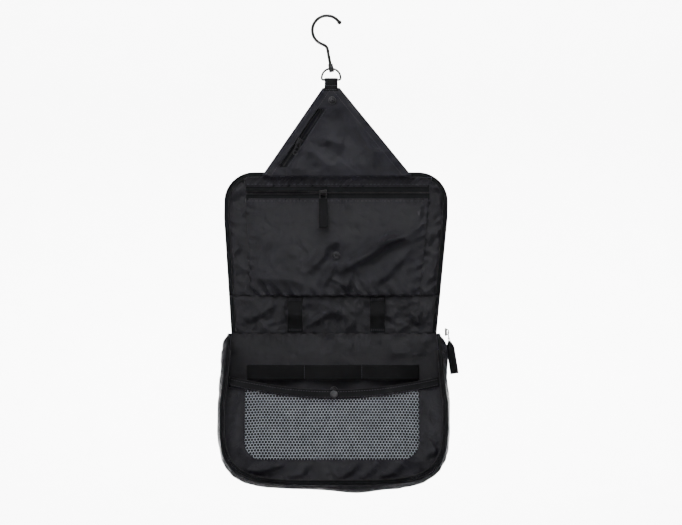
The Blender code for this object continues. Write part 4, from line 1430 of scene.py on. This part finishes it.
# ---------------------------------------------------------------- the body
@dataclass
class Body:
    """The lower bag: back, gusset, main zip, front pocket with its net, bands and snaps."""

    shape: LidShape = field(default_factory=LidShape)
    middle: float = 8.0 * MM
    round_z: float = -440.0 * MM
    halves: Point = (121.0 * MM, 127.0 * MM)
    drops: Point = (89.0 * MM, 90.0 * MM)
    bulges: Point = (7.0 * MM, 9.0 * MM)
    power: float = 4.5
    top_z: float = -366.5 * MM
    corner: Point = (-27.0 * MM, -393.0 * MM)
    foot: Point = (-64.0 * MM, -524.0 * MM)
    straight: float = 0.22
    recess: float = 6.0 * MM
    panel_inset: float = 2.6 * MM
    zip_trim: int = 7
    panel_half: float = 119.0 * MM
    binding: float = 9.2 * MM
    sag: Point = (-427.5 * MM, -411.5 * MM)
    window_x: Point = (-93.0 * MM, 104.5 * MM)
    window_low: float = -504.0 * MM
    window_corner: float = 20.0 * MM
    band_x: Point = (-92.0 * MM, 106.0 * MM)
    band_z: Point = (-416.6 * MM, -399.2 * MM)
    rumple: Creases = Creases(rumple=0.75 * MM, rumple_size=30 * MM, seed=21.0)
    front: Creases = Creases(
        folds=(
            Fold((0.034, -0.508), (0.010, -0.527), 4 * MM, 2.6 * MM),
            Fold((0.058, -0.508), (0.034, -0.527), 4 * MM, 2.6 * MM),
            Fold((0.086, -0.507), (0.060, -0.525), 5 * MM, 2.2 * MM),
            Fold((-0.050, -0.508), (-0.094, -0.518), 5 * MM, 2.4 * MM),
            Fold((-0.020, -0.510), (-0.044, -0.526), 5 * MM, 1.6 * MM),
            Fold((0.110, -0.478), (0.124, -0.500), 5 * MM, 1.8 * MM),
            Fold((-0.101, -0.440), (-0.108, -0.490), 6 * MM, 1.8 * MM),
            Fold((-0.088, -0.506), (-0.100, -0.486), 5 * MM, 1.8 * MM),
        ),
        rumple=1.3 * MM,
        rumple_size=24 * MM,
        seed=31.0,
    )

    def front_y(self, z: float) -> float:
        """The gusset's front edge at a height."""
        (corner_y, corner_z), (foot_y, foot_z) = self.corner, self.foot
        if z > corner_z:
            share = max(0.0, (self.top_z - z) / (self.top_z - corner_z))
            return blend(-2.0 * MM, corner_y, math.sin(share * math.pi / 2) ** 0.85)
        return blend(corner_y, foot_y, min(1.0, (corner_z - z) / (corner_z - foot_z)))

    def outline(self, turn: float, depth: float, inset: float = 0.0, top_z: float | None = None) -> Point:
        """A point of the outline from the left top corner (0) round to the right one (1).

        Args:
            turn: The share of the way round.
            depth: 0 at the back edge and 1 at the front edge.
            inset: How far the outline is moved inwards.
            top_z: The height it starts from.

        Returns:
            Its X and Z.
        """
        swell = 4 * depth * (1 - depth)
        half = blend(*self.halves, depth) + self.bulges[0] * swell - inset
        drop = blend(*self.drops, depth) + self.bulges[1] * swell - inset
        if min(turn, 1 - turn) < self.straight:
            share = min(turn, 1 - turn) / self.straight
            slim = 7.0 * MM * depth * (1 - share) ** 0.7
            side = -1 if turn < 0.5 else 1
            return self.middle + side * (half - slim), blend(top_z or self.top_z, self.round_z, share)
        angle = math.pi * (1 + (turn - self.straight) / (1 - 2 * self.straight))
        ca, sa = math.cos(angle), math.sin(angle)
        x = self.middle + math.copysign(abs(ca) ** (2 / self.power), ca) * half
        return x, self.round_z - abs(sa) ** (2 / self.power) * drop

    def even_turns(self, steps: int) -> list[float]:
        """Shares of the turn whose points are evenly spaced along the front outline."""
        fine = [index / 1200 for index in range(1201)]
        spots = [self.outline(turn, 1.0) for turn in fine]
        walked = [0.0]
        for (ax, az), (bx, bz) in zip(spots, spots[1:]):
            walked.append(walked[-1] + math.hypot(bx - ax, bz - az))
        found, index = [], 0
        for step in range(steps + 1):
            due = walked[-1] * step / steps
            while index < 1199 and walked[index + 1] < due:
                index += 1
            span = walked[index + 1] - walked[index]
            found.append(fine[index] + (due - walked[index]) / max(span, SMALLEST) / 1200)
        return [min(1.0, turn) for turn in found]

    def gusset_at(self, turn: float, depth: float) -> Vector:
        """A point of the gusset's wrinkled cloth."""
        x, z = self.outline(turn, depth)
        out = Vector((x - self.middle, 0, (z - self.round_z) * 1.2 if z < self.round_z else 0)).normalized()
        y = blend(4.2 * MM, self.front_y(z), depth)
        calm = ease(min(depth, 1 - depth) / 0.25) * ease(min(turn, 1 - turn) / 0.05)
        end = ease(1 - min(turn, 1 - turn) / 0.05)
        arch = math.sin(math.pi * min(1.0, depth * 1.05))
        x -= math.copysign(end * end * 6.5 * MM * arch, x - self.middle)
        z += ease(end * 1.5) * 3.2 * MM * arch
        along = turn * 0.62
        lift = self.rumple.lift(along, y * 1.6) * calm * 1.3
        lift += puckers(along, (1 - depth) * 0.055, 19 * MM, 0.7 * MM, 16 * MM, 0.5) * calm
        low = ease((self.round_z - 60 * MM - z) / (26 * MM))
        lift += low * 4.0 * MM * math.exp(-(((x - 34 * MM) / (30 * MM)) ** 2)) * calm
        return Vector((x, y, z)) + out * lift

    def rim(self, outset: float, ahead: float, steps: int = 240) -> list[Vector]:
        """The gusset's front edge, moved outwards and forwards."""
        path = []
        for turn in self.even_turns(steps):
            x, z = self.outline(turn, 1.0, -outset)
            path.append(Vector((x, self.front_y(z) - ahead, z)))
        return path

    def slope(self) -> Matrix:
        """The front pocket's plane: local Y up the slope, local Z outwards."""
        up = Vector((0, self.corner[0] - self.foot[0], self.corner[1] - self.foot[1])).normalized()
        out = Vector((1, 0, 0)).cross(up)
        turn = Matrix((Vector((1, 0, 0)), up, out)).transposed().to_4x4()
        return Matrix.Translation(Vector((0, self.foot[0], self.foot[1])) - out * self.recess) @ turn

    def on_slope(self, x: float, z: float, lift: float) -> Vector:
        """A point of the front pocket at a world X and Z, lifted off its plane."""
        scale = self.slope().to_3x3().col[1].z
        return self.slope() @ Vector((x, (z - self.foot[1]) / scale, lift))

    def binding_z(self, x: float) -> float:
        """The sagging upper edge of the pocket."""
        share = (x - self.middle) / self.panel_half
        return blend(*self.sag, min(1.0, share * share))

    def pocket_lift(self, x: float, z: float) -> float:
        """How far the pocket bulges off its plane."""
        rim = min(self.panel_half - abs(x - self.middle), z - (self.foot[1] - 4 * MM))
        return 7.0 * MM * ease(rim / (42 * MM)) - 1.4 * MM * ease((z + 470 * MM) / (60 * MM))

    def build(self) -> None:
        """Makes every piece of the body."""
        self._back()
        self._gusset()
        self._edge()
        self._panel()
        self._net()
        self._binding()
        self._bands()
        self._hardware()

    def _back(self) -> None:
        """The lining and the outer cloth of the back."""
        top = self.shape.hinge_z + 0.2 * MM
        face = self.shape.face_y

        def flat_at(u: float, v: float) -> Point:
            """A point of the back's outline, filled from side to side."""
            if v > 0.45:
                z = blend(self.round_z, top, (v - 0.45) / 0.55)
                return self.middle + (u - 0.5) * 2 * self.halves[0], z
            angle = (1 - v / 0.45) * math.pi / 2
            half = max(math.cos(angle) ** (2 / self.power), 0.55) * self.halves[0]
            drop = math.sin(angle) ** (2 / self.power) * self.drops[0]
            return self.middle + (u - 0.5) * 2 * half, self.round_z - drop

        for name, node, side, finish in (
            ("back_lining_cloth", "back_lining", -1, Finish.LINING),
            ("back_panel_cloth", "back_panel", 1, Finish.SHELL),
        ):

            def place(u: float, v: float, side: int = side) -> Vector:
                """A point of the back."""
                x, z = flat_at(u, v)
                calm = ease(min(u, 1 - u, v) * 0.24 / (12 * MM)) * ease((top - z) / (10 * MM))
                lift = self.rumple.lift(x + side, z) * calm
                if side < 0:
                    near = ease(abs(z - sum(self.band_z) / 2) / (14 * MM) - 0.7)
                    lift = lift * near + puckers(x, top - z, 12 * MM, 0.8 * MM, 9 * MM)
                    return Vector((x, face + 0.6 * MM - lift, z))
                return Vector((x, 5.4 * MM + 0.5 * lift, z))

            piece = cloth(name, (120, 90), (0.242, 0.165), place, 1.0 * MM, offset=float(side))
            fitted(piece, finish, "body", node)
        cord = [Vector((x, self.shape.piping_y, z)) for x, z in
                (self.outline(turn, 0.0, 1.0 * MM, top) for turn in self.even_turns(160))]
        fitted(tube("back_piping_cord", cord, CORD, sides=4), Finish.WEBBING, "body")

    def _gusset(self) -> None:
        """The wall round the sides and the bottom."""
        columns = 300
        turns = self.even_turns(columns)

        def place(u: float, v: float) -> Vector:
            """A point of the wall."""
            return self.gusset_at(turns[round(u * columns)], v)

        wall = cloth("gusset_cloth", (columns, 34), (0.53, 0.066), place, 1.6 * MM, offset=0.0)
        fitted(wall, Finish.SIDE, "body", "gusset")

    def _edge(self) -> None:
        """The piping and the main zip's other half along the gusset's front edge."""
        cord = tube("body_piping_cord", self.rim(1.0 * MM, 1.0 * MM), CORD, sides=4)
        fitted(cord, Finish.WEBBING, "body", "body_piping")
        line = self.rim(-3.8 * MM, 2.0 * MM)[self.zip_trim:-self.zip_trim]
        out = Vector((0, -1, 0.25)).normalized()
        ZipSide("body_zip", line, lambda _spot: out, -1, 3.4 * MM, "body", "body_zip_coil",
                **MAIN_ZIP).build()
        outer = [spot + Vector((0, 0.4 * MM, 0)) for spot in self.rim(-2.0 * MM, 2.4 * MM)]
        stitches("body_edge_stitch", outer, "body", 3.0 * MM)

    def window_at(self, share: float) -> Point:
        """A point of the window's outline, anticlockwise from its lower left corner's top."""
        (left, right), low, radius = self.window_x, self.window_low, self.window_corner
        high = [self.binding_z(x) - self.binding for x in (left, right)]
        legs = [radius * math.pi / 2, right - left - 2 * radius, radius * math.pi / 2,
                high[1] - low - radius, right - left, high[0] - low - radius]
        way = (share % 1.0) * sum(legs)
        for index, leg in enumerate(legs):
            if way <= leg or index == len(legs) - 1:
                break
            way -= leg
        at = min(1.0, way / legs[index])
        if index in (0, 2):
            angle = math.radians(blend(180, 270, at) + 45 * index)
            centre = left + radius if index == 0 else right - radius
            return centre + radius * math.cos(angle), low + radius + radius * math.sin(angle)
        if index == 4:
            x = blend(right, left, at)
            return x, self.binding_z(x) - self.binding + 0.6 * MM
        return [None, (left + radius + way, low), None, (right, low + radius + way), None,
                (left, high[0] - way)][index]

    def _panel(self) -> None:
        """The front cloth round the window: its outer edge in the seam, its inner edge hemmed."""
        around, rows = 300, 14
        first = 0.165

        def outer(turn: float) -> Point:
            """The point of the outer edge beside a point of the window."""
            wx, wz = self.window_at(turn)
            if wz > self.binding_z(wx) - self.binding - 1 * MM:
                return wx, wz
            low, high = first, 1 - first
            cx, cz = self.middle, -458 * MM
            want = math.atan2(wz - cz, (wx - cx) * 0.62)
            for _round in range(22):
                mid = (low + high) / 2
                x, z = self.outline(mid, 1.0, self.panel_inset)
                here = math.atan2(z - cz, (x - cx) * 0.62)
                ahead = (here - want + math.pi) % TURN - math.pi
                low, high = (mid, high) if ahead < 0 else (low, mid)
            return self.outline((low + high) / 2, 1.0, self.panel_inset)

        edges = [outer(step / around) for step in range(around)]

        def place(u: float, v: float) -> Vector:
            """A point of the cloth, from the window outwards."""
            step = round(u * around) % around
            wx, wz = self.window_at(step / around)
            ox, oz = edges[step]
            x, z = blend(wx, ox, v), blend(wz, oz, v)
            calm = ease(v / 0.25) * ease((1 - v) / 0.3)
            lift = self.pocket_lift(x, z) + self.front.lift(x, z) * calm + 0.5 * MM
            lift += puckers(step / around * 0.6, (1 - v) * 0.02, 11 * MM, 0.8 * MM, 12 * MM, 0.8) * calm
            return self.on_slope(x, z, lift + (1.2 * MM * v ** 6))

        panel = cloth("front_panel_cloth", (around, rows), (0.60, 0.024), place, 0.9 * MM, closed=True)
        fitted(panel, Finish.FRONT, "body", "front_panel")
        hem = []
        for step in range(181):
            x, z = self.window_at(step / 180)
            shift = Vector((x - 6 * MM, 0, z + 462 * MM)).normalized() * 1.8 * MM
            if z < self.binding_z(x) - self.binding - 2 * MM:
                x, z = x + shift.x, z + shift.z
                hem.append(self.on_slope(x, z, self.pocket_lift(x, z) + 0.8 * MM))
        stitches("window_hem_stitch", hem, "body", 3.0 * MM)

    def _net(self) -> None:
        """The hexagonal netting behind the window."""
        hole, thread = 3.5 * MM, 0.31 * MM
        (left, right), low = self.window_x, self.window_low
        radius = hole / math.sqrt(3)
        bm = bmesh.new()
        row, z = 0, low - 2 * MM
        while z < self.sag[1]:
            x = left - 2 * MM + (hole / 2 if row % 2 else 0.0)
            while x < right + 2 * MM:
                if self._inside(x, z):
                    bmesh.ops.create_circle(bm, cap_ends=True, segments=6, radius=radius,
                                            matrix=Matrix.Translation((x, z, 0)))
                x += hole
            row += 1
            z += radius * 1.5
        bmesh.ops.remove_doubles(bm, verts=bm.verts, dist=0.05 * MM)
        for vert in bm.verts:
            x, z = vert.co.x, vert.co.y
            wave = 1.2 * MM * noise.noise(Vector((x / 0.03, z / 0.022, 4.0)))
            wave += 0.9 * MM * math.sin(x / (17 * MM) + 1.4 * math.sin(z / (12 * MM)))
            vert.co = self.on_slope(x, z, self.pocket_lift(x, z) - 0.9 * MM + 0.5 * wave)
        bmesh.ops.recalc_face_normals(bm, faces=bm.faces)
        net = piece_of("mesh_window_net", bm, False)
        wires = net.modifiers.new("threads", "WIREFRAME")
        wires.thickness, wires.use_even_offset, wires.use_replace = thread * 2, False, True
        wires.use_boundary = True
        fitted(net, Finish.NET, "body", "mesh_window")

    def _inside(self, x: float, z: float) -> bool:
        """Whether a cell of the net lies in the window or just under its hem."""
        (left, right), low, radius = self.window_x, self.window_low, self.window_corner
        grow = 2.0 * MM
        high = self.binding_z(x) - self.binding + 3 * MM
        if not (left - grow < x < right + grow and low - grow < z < high):
            return False
        cx = min(max(x, left + radius), right - radius)
        return z > low + radius or math.hypot(x - cx, z - low - radius) < radius + grow

    def _on_binding(self, x: float, down: float, lift: float, half: float) -> Vector:
        """A point of the binding, so far below its edge and off the pocket's bulge."""
        z = self.binding_z(x) - down
        wave = 0.8 * MM * math.sin(x / (21 * MM) + 0.8) * ease((half - abs(x - self.middle)) / (30 * MM))
        return self.on_slope(x, z, self.pocket_lift(x, z) * 0.9 + lift + wave)

    def _binding(self) -> None:
        """The wide binding folded over the pocket's upper edge."""
        half, height, thick = self.panel_half + 0.5 * MM, self.binding, 2.0 * MM
        run = 2 * height + 2 * thick

        def place(u: float, v: float) -> Vector:
            """A point of the folded binding, from its front foot over the top to its back foot."""
            x = self.middle + (u * 2 - 1) * half
            way = v * run - height
            if way < 0:
                down, off = -way, thick / 2
            elif way < 2 * thick:
                angle = way / (2 * thick) * math.pi
                down, off = -thick / 2 * math.sin(angle), thick / 2 * math.cos(angle)
            else:
                down, off = way - 2 * thick, -thick / 2
            return self._on_binding(x, down, off + 1.0 * MM, half)

        strip = cloth("front_binding_strip", (130, 30), (0.24, run), place, 0.6 * MM, offset=0.0)
        fitted(strip, Finish.BINDING, "body", "front_binding")
        for row, down in enumerate((1.6 * MM, self.binding - 1.2 * MM)):
            path = []
            for step in range(121):
                x = self.middle + blend(-half + 2 * MM, half - 2 * MM, step / 120)
                path.append(self._on_binding(x, down, 2.35 * MM, half))
            stitches(f"binding_stitch_{row}", path, "body", 3.0 * MM)
        turn, proud = self.slope().to_3x3().to_4x4(), 1.3 * MM
        cap, stud = (self._on_binding(self.middle, self.binding / 2, 1.0 * MM + side * proud, half)
                     for side in (1, -1))
        press_stud("front_snap_cap", Matrix.Translation(cap) @ turn, "cap", "body", Finish.SNAP)
        turned_back = Matrix.Translation(stud) @ turn @ Matrix.Rotation(math.pi, 4, "X")
        press_stud("front_snap_stud", turned_back, "stud", "body")

    def _bands(self) -> None:
        """The elastic across the back, sewn down in four places, and the socket below it."""
        face, (low, high) = self.shape.face_y, self.band_z

        def place(u: float, v: float) -> Vector:
            """A point of the elastic."""
            lift = 6.2 * MM * math.sin(math.pi * ((u * 3) % 1.0)) ** 0.8 if 0 < u < 1 else 0.0
            return Vector((blend(*self.band_x, u), face - 0.4 * MM - lift, blend(*self.band_z, v)))

        band = cloth("elastic_band_strip", (120, 12), (0.2, 0.0174), place, 1.0 * MM)
        fitted(band, Finish.ELASTIC, "body", "elastic_band")
        for index in range(4):
            x = blend(*self.band_x, min(max(index / 3, 0.012), 0.988))
            row = [Vector((x, face - 1.2 * MM, z)) for z in (low + 1 * MM, high - 1 * MM)]
            stitches(f"band_stitch_{index}", row, "body", 2.0 * MM)
        socket = frontal(self.middle, face - 0.6 * MM, low - 12 * MM)
        press_stud("back_snap_socket", socket, "socket", "body")

    def _hardware(self) -> None:
        """The main zip's slider with its fabric tab, parked at the right end."""
        lean = math.radians(9.0)
        ZipSlider("main", pin=Vector((138.75 * MM, -6.0 * MM, -361.5 * MM)), out=Vector((1, 0, 0)),
                  hang=Vector((math.sin(lean), 0, -math.cos(lean))), along=Vector((0, 0, 1)),
                  ring=(7.0 * MM, 8.0 * MM), tab=(9.5 * MM, 41.0 * MM), twist=math.radians(82)).build()


# ---------------------------------------------------------------- cloth that crosses the folds
@dataclass
class FoldStrips:
    """The cloth that crosses the folds where flap, lid, top strip and back meet."""

    shape: LidShape = field(default_factory=LidShape)
    reach: float = 6.0 * MM

    def _strip(self, name: str, z: float, half: Callable[[int], float], ys: Point, bodies: tuple[str, str],
               lift: float, finish: Finish) -> None:
        """One strip over a fold.

        Args:
            name: The piece's name.
            z: The fold's height.
            half: The X of its left (0) and right (1) end.
            ys: The depth of its face above and below the fold.
            bodies: The bodies above and below; not used.
            lift: How far it puckers.
            finish: Its finish.
        """
        reach = self.reach

        def place(u: float, v: float) -> Vector:
            """A point of the strip, from below the fold to above it."""
            x = blend(half(0), half(1), u)
            drop = (v * 2 - 1) * reach
            calm = ease(min(u, 1 - u) * 0.2 / (6 * MM)) * (1 - abs(v * 2 - 1) ** 3)
            bump = lift * calm * (0.6 + noise.noise(Vector((x / 0.007 + drop * 60, z * 40, 1.0))))
            return Vector((x, blend(ys[1], ys[0], ease(v)) - bump, z + drop))

        strip = cloth(name, (120, 14), (abs(half(1) - half(0)), 2 * reach), place, 0.8 * MM)
        dress(strip, finish)
        abs(half(1) - half(0))
        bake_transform(strip)

    def build(self, flap: Flap) -> None:
        """Makes the strips at the flap's, the lid's and the top strip's folds."""
        shape, trim = self.shape, 4 * MM
        face = shape.face_y + 1.6 * MM

        def foot(side: int) -> float:
            """The end of the flap's foot, just inside its edge."""
            return flap.edge(flap.fold_z, side) + (0.5 - side) * trim

        self._strip("flap_fold_cloth", flap.fold_z, foot, (-1.5 * MM, 3.8 * MM), ("flap", "lid"), 0.8 * MM,
                    Finish.SHELL)
        for label, below, z in (("lid", "top", shape.fold_z), ("top", "body", shape.hinge_z)):

            def inner(side: int, z: float = z) -> float:
                """The strip's end, just inside the edge tapes."""
                return shape.side(z, 2 * side - 1) + (0.5 - side) * trim

            for layer, y, finish in (("lining", face, Finish.LINING), ("outer", 6.6 * MM, Finish.SHELL)):
                self._strip(f"{label}_fold_{layer}", z, inner, (y, y), (label, below), 0.3 * MM, finish)


# ---------------------------------------------------------------- the studio
@dataclass(frozen=True)
class Lamp:
    """A soft rectangular light, placed relative to the bag's middle."""

    name: str
    at: tuple[float, float, float]
    size: Point
    watts: float
    aim: tuple[float, float, float] = (0.0, 0.0, 0.0)
    spread: float = 180.0

    def build(self, middle: Vector) -> None:
        """Makes the light and turns it to its aim."""
        data = bpy.data.lights.new(self.name, "AREA")
        data.shape, data.size, data.size_y, data.energy = "RECTANGLE", *self.size, self.watts
        data.spread = math.radians(self.spread)
        light = bpy.data.objects.new(self.name, data)
        bpy.context.scene.collection.objects.link(light)
        light.location = middle + Vector(self.at)
        way = middle + Vector(self.aim) - light.location
        light.rotation_euler = way.to_track_quat("-Z", "Y").to_euler()


@dataclass
class Studio:
    """A round pale backdrop, soft lights and a camera level with the bag."""

    lamps: tuple[Lamp, ...] = (
        Lamp("key_left", (-1.2, -1.5, 1.5), (0.5, 0.5), 37.0),
        Lamp("fill_right", (1.7, -1.5, 0.5), (0.6, 1.2), 6.0),
        Lamp("top_front", (0.2, -0.7, 1.8), (0.8, 0.3), 19.0),
        Lamp("backdrop_wash", (0.0, 3.2, 2.6), (5.0, 1.0), 1120.0, (0.0, 5.0, -0.2), 110.0),
    )
    ambient: float = 0.06
    distance: float = 3.2
    lens: float = 147.0
    aim: tuple[float, float] = (4.6 * MM, -13.8 * MM)
    floor_drop: float = 0.45
    room: float = 5.2

    def build(self) -> None:
        """Makes the backdrop, the lights and the camera."""
        low, high = CAD_BOX
        middle = (low + high) / 2
        self._bowl(low.z - self.floor_drop)
        for lamp in self.lamps:
            lamp.build(middle)
        world = bpy.data.worlds.new("soft_room")
        bpy.context.scene.world = world
        world.use_nodes = True
        sky = world.node_tree.nodes["Background"]
        sky.inputs["Color"].default_value = (1.0, 1.0, 1.0, 1.0)
        sky.inputs["Strength"].default_value = self.ambient
        data = bpy.data.cameras.new("camera")
        data.lens, data.sensor_width = self.lens, 36.0
        camera = bpy.data.objects.new("camera", data)
        bpy.context.scene.collection.objects.link(camera)
        camera.location = (middle.x + self.aim[0], -self.distance, middle.z + self.aim[1])
        camera.rotation_euler = (math.pi / 2, 0, 0)
        bpy.context.scene.camera = camera

    def _bowl(self, floor_z: float) -> None:
        """A round floor that curves up into a wall on every side."""
        wall, bend, height = self.room, 1.2, 4.5
        path = [(0.0, 0.0), (wall - bend, 0.0)]
        path += [(wall - bend + x, bend + z) for x, z in arc((0, 0), bend, -86, 0, 14)]
        path += [(wall, height)]
        bowl = turned("backdrop", path, Matrix.Translation((0, 0, floor_z)), 96)
        shader = Shader("backdrop_paper")
        paper = shader.noise(14.0, 3.0)
        shader.colour(paper, (0.55, 0.55, 0.55), (0.57, 0.57, 0.57))
        shader.feed(shader.surface.inputs["Roughness"], 0.85 + paper * 0.1)
        bowl.data.materials.append(shader.material)


def report_size() -> None:
    """Updates the view layer."""
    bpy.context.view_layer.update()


def main() -> None:
    """Builds the whole scene."""
    logging.basicConfig(level=logging.INFO, format="%(name)s: %(message)s")
    Hanger().build()
    flap = Flap()
    flap.build()
    Lid().build()
    TopStrip().build()
    Body().build()
    FoldStrips().build(flap)
    Studio().build()
    report_size()


if __name__ == "__main__":
    main()
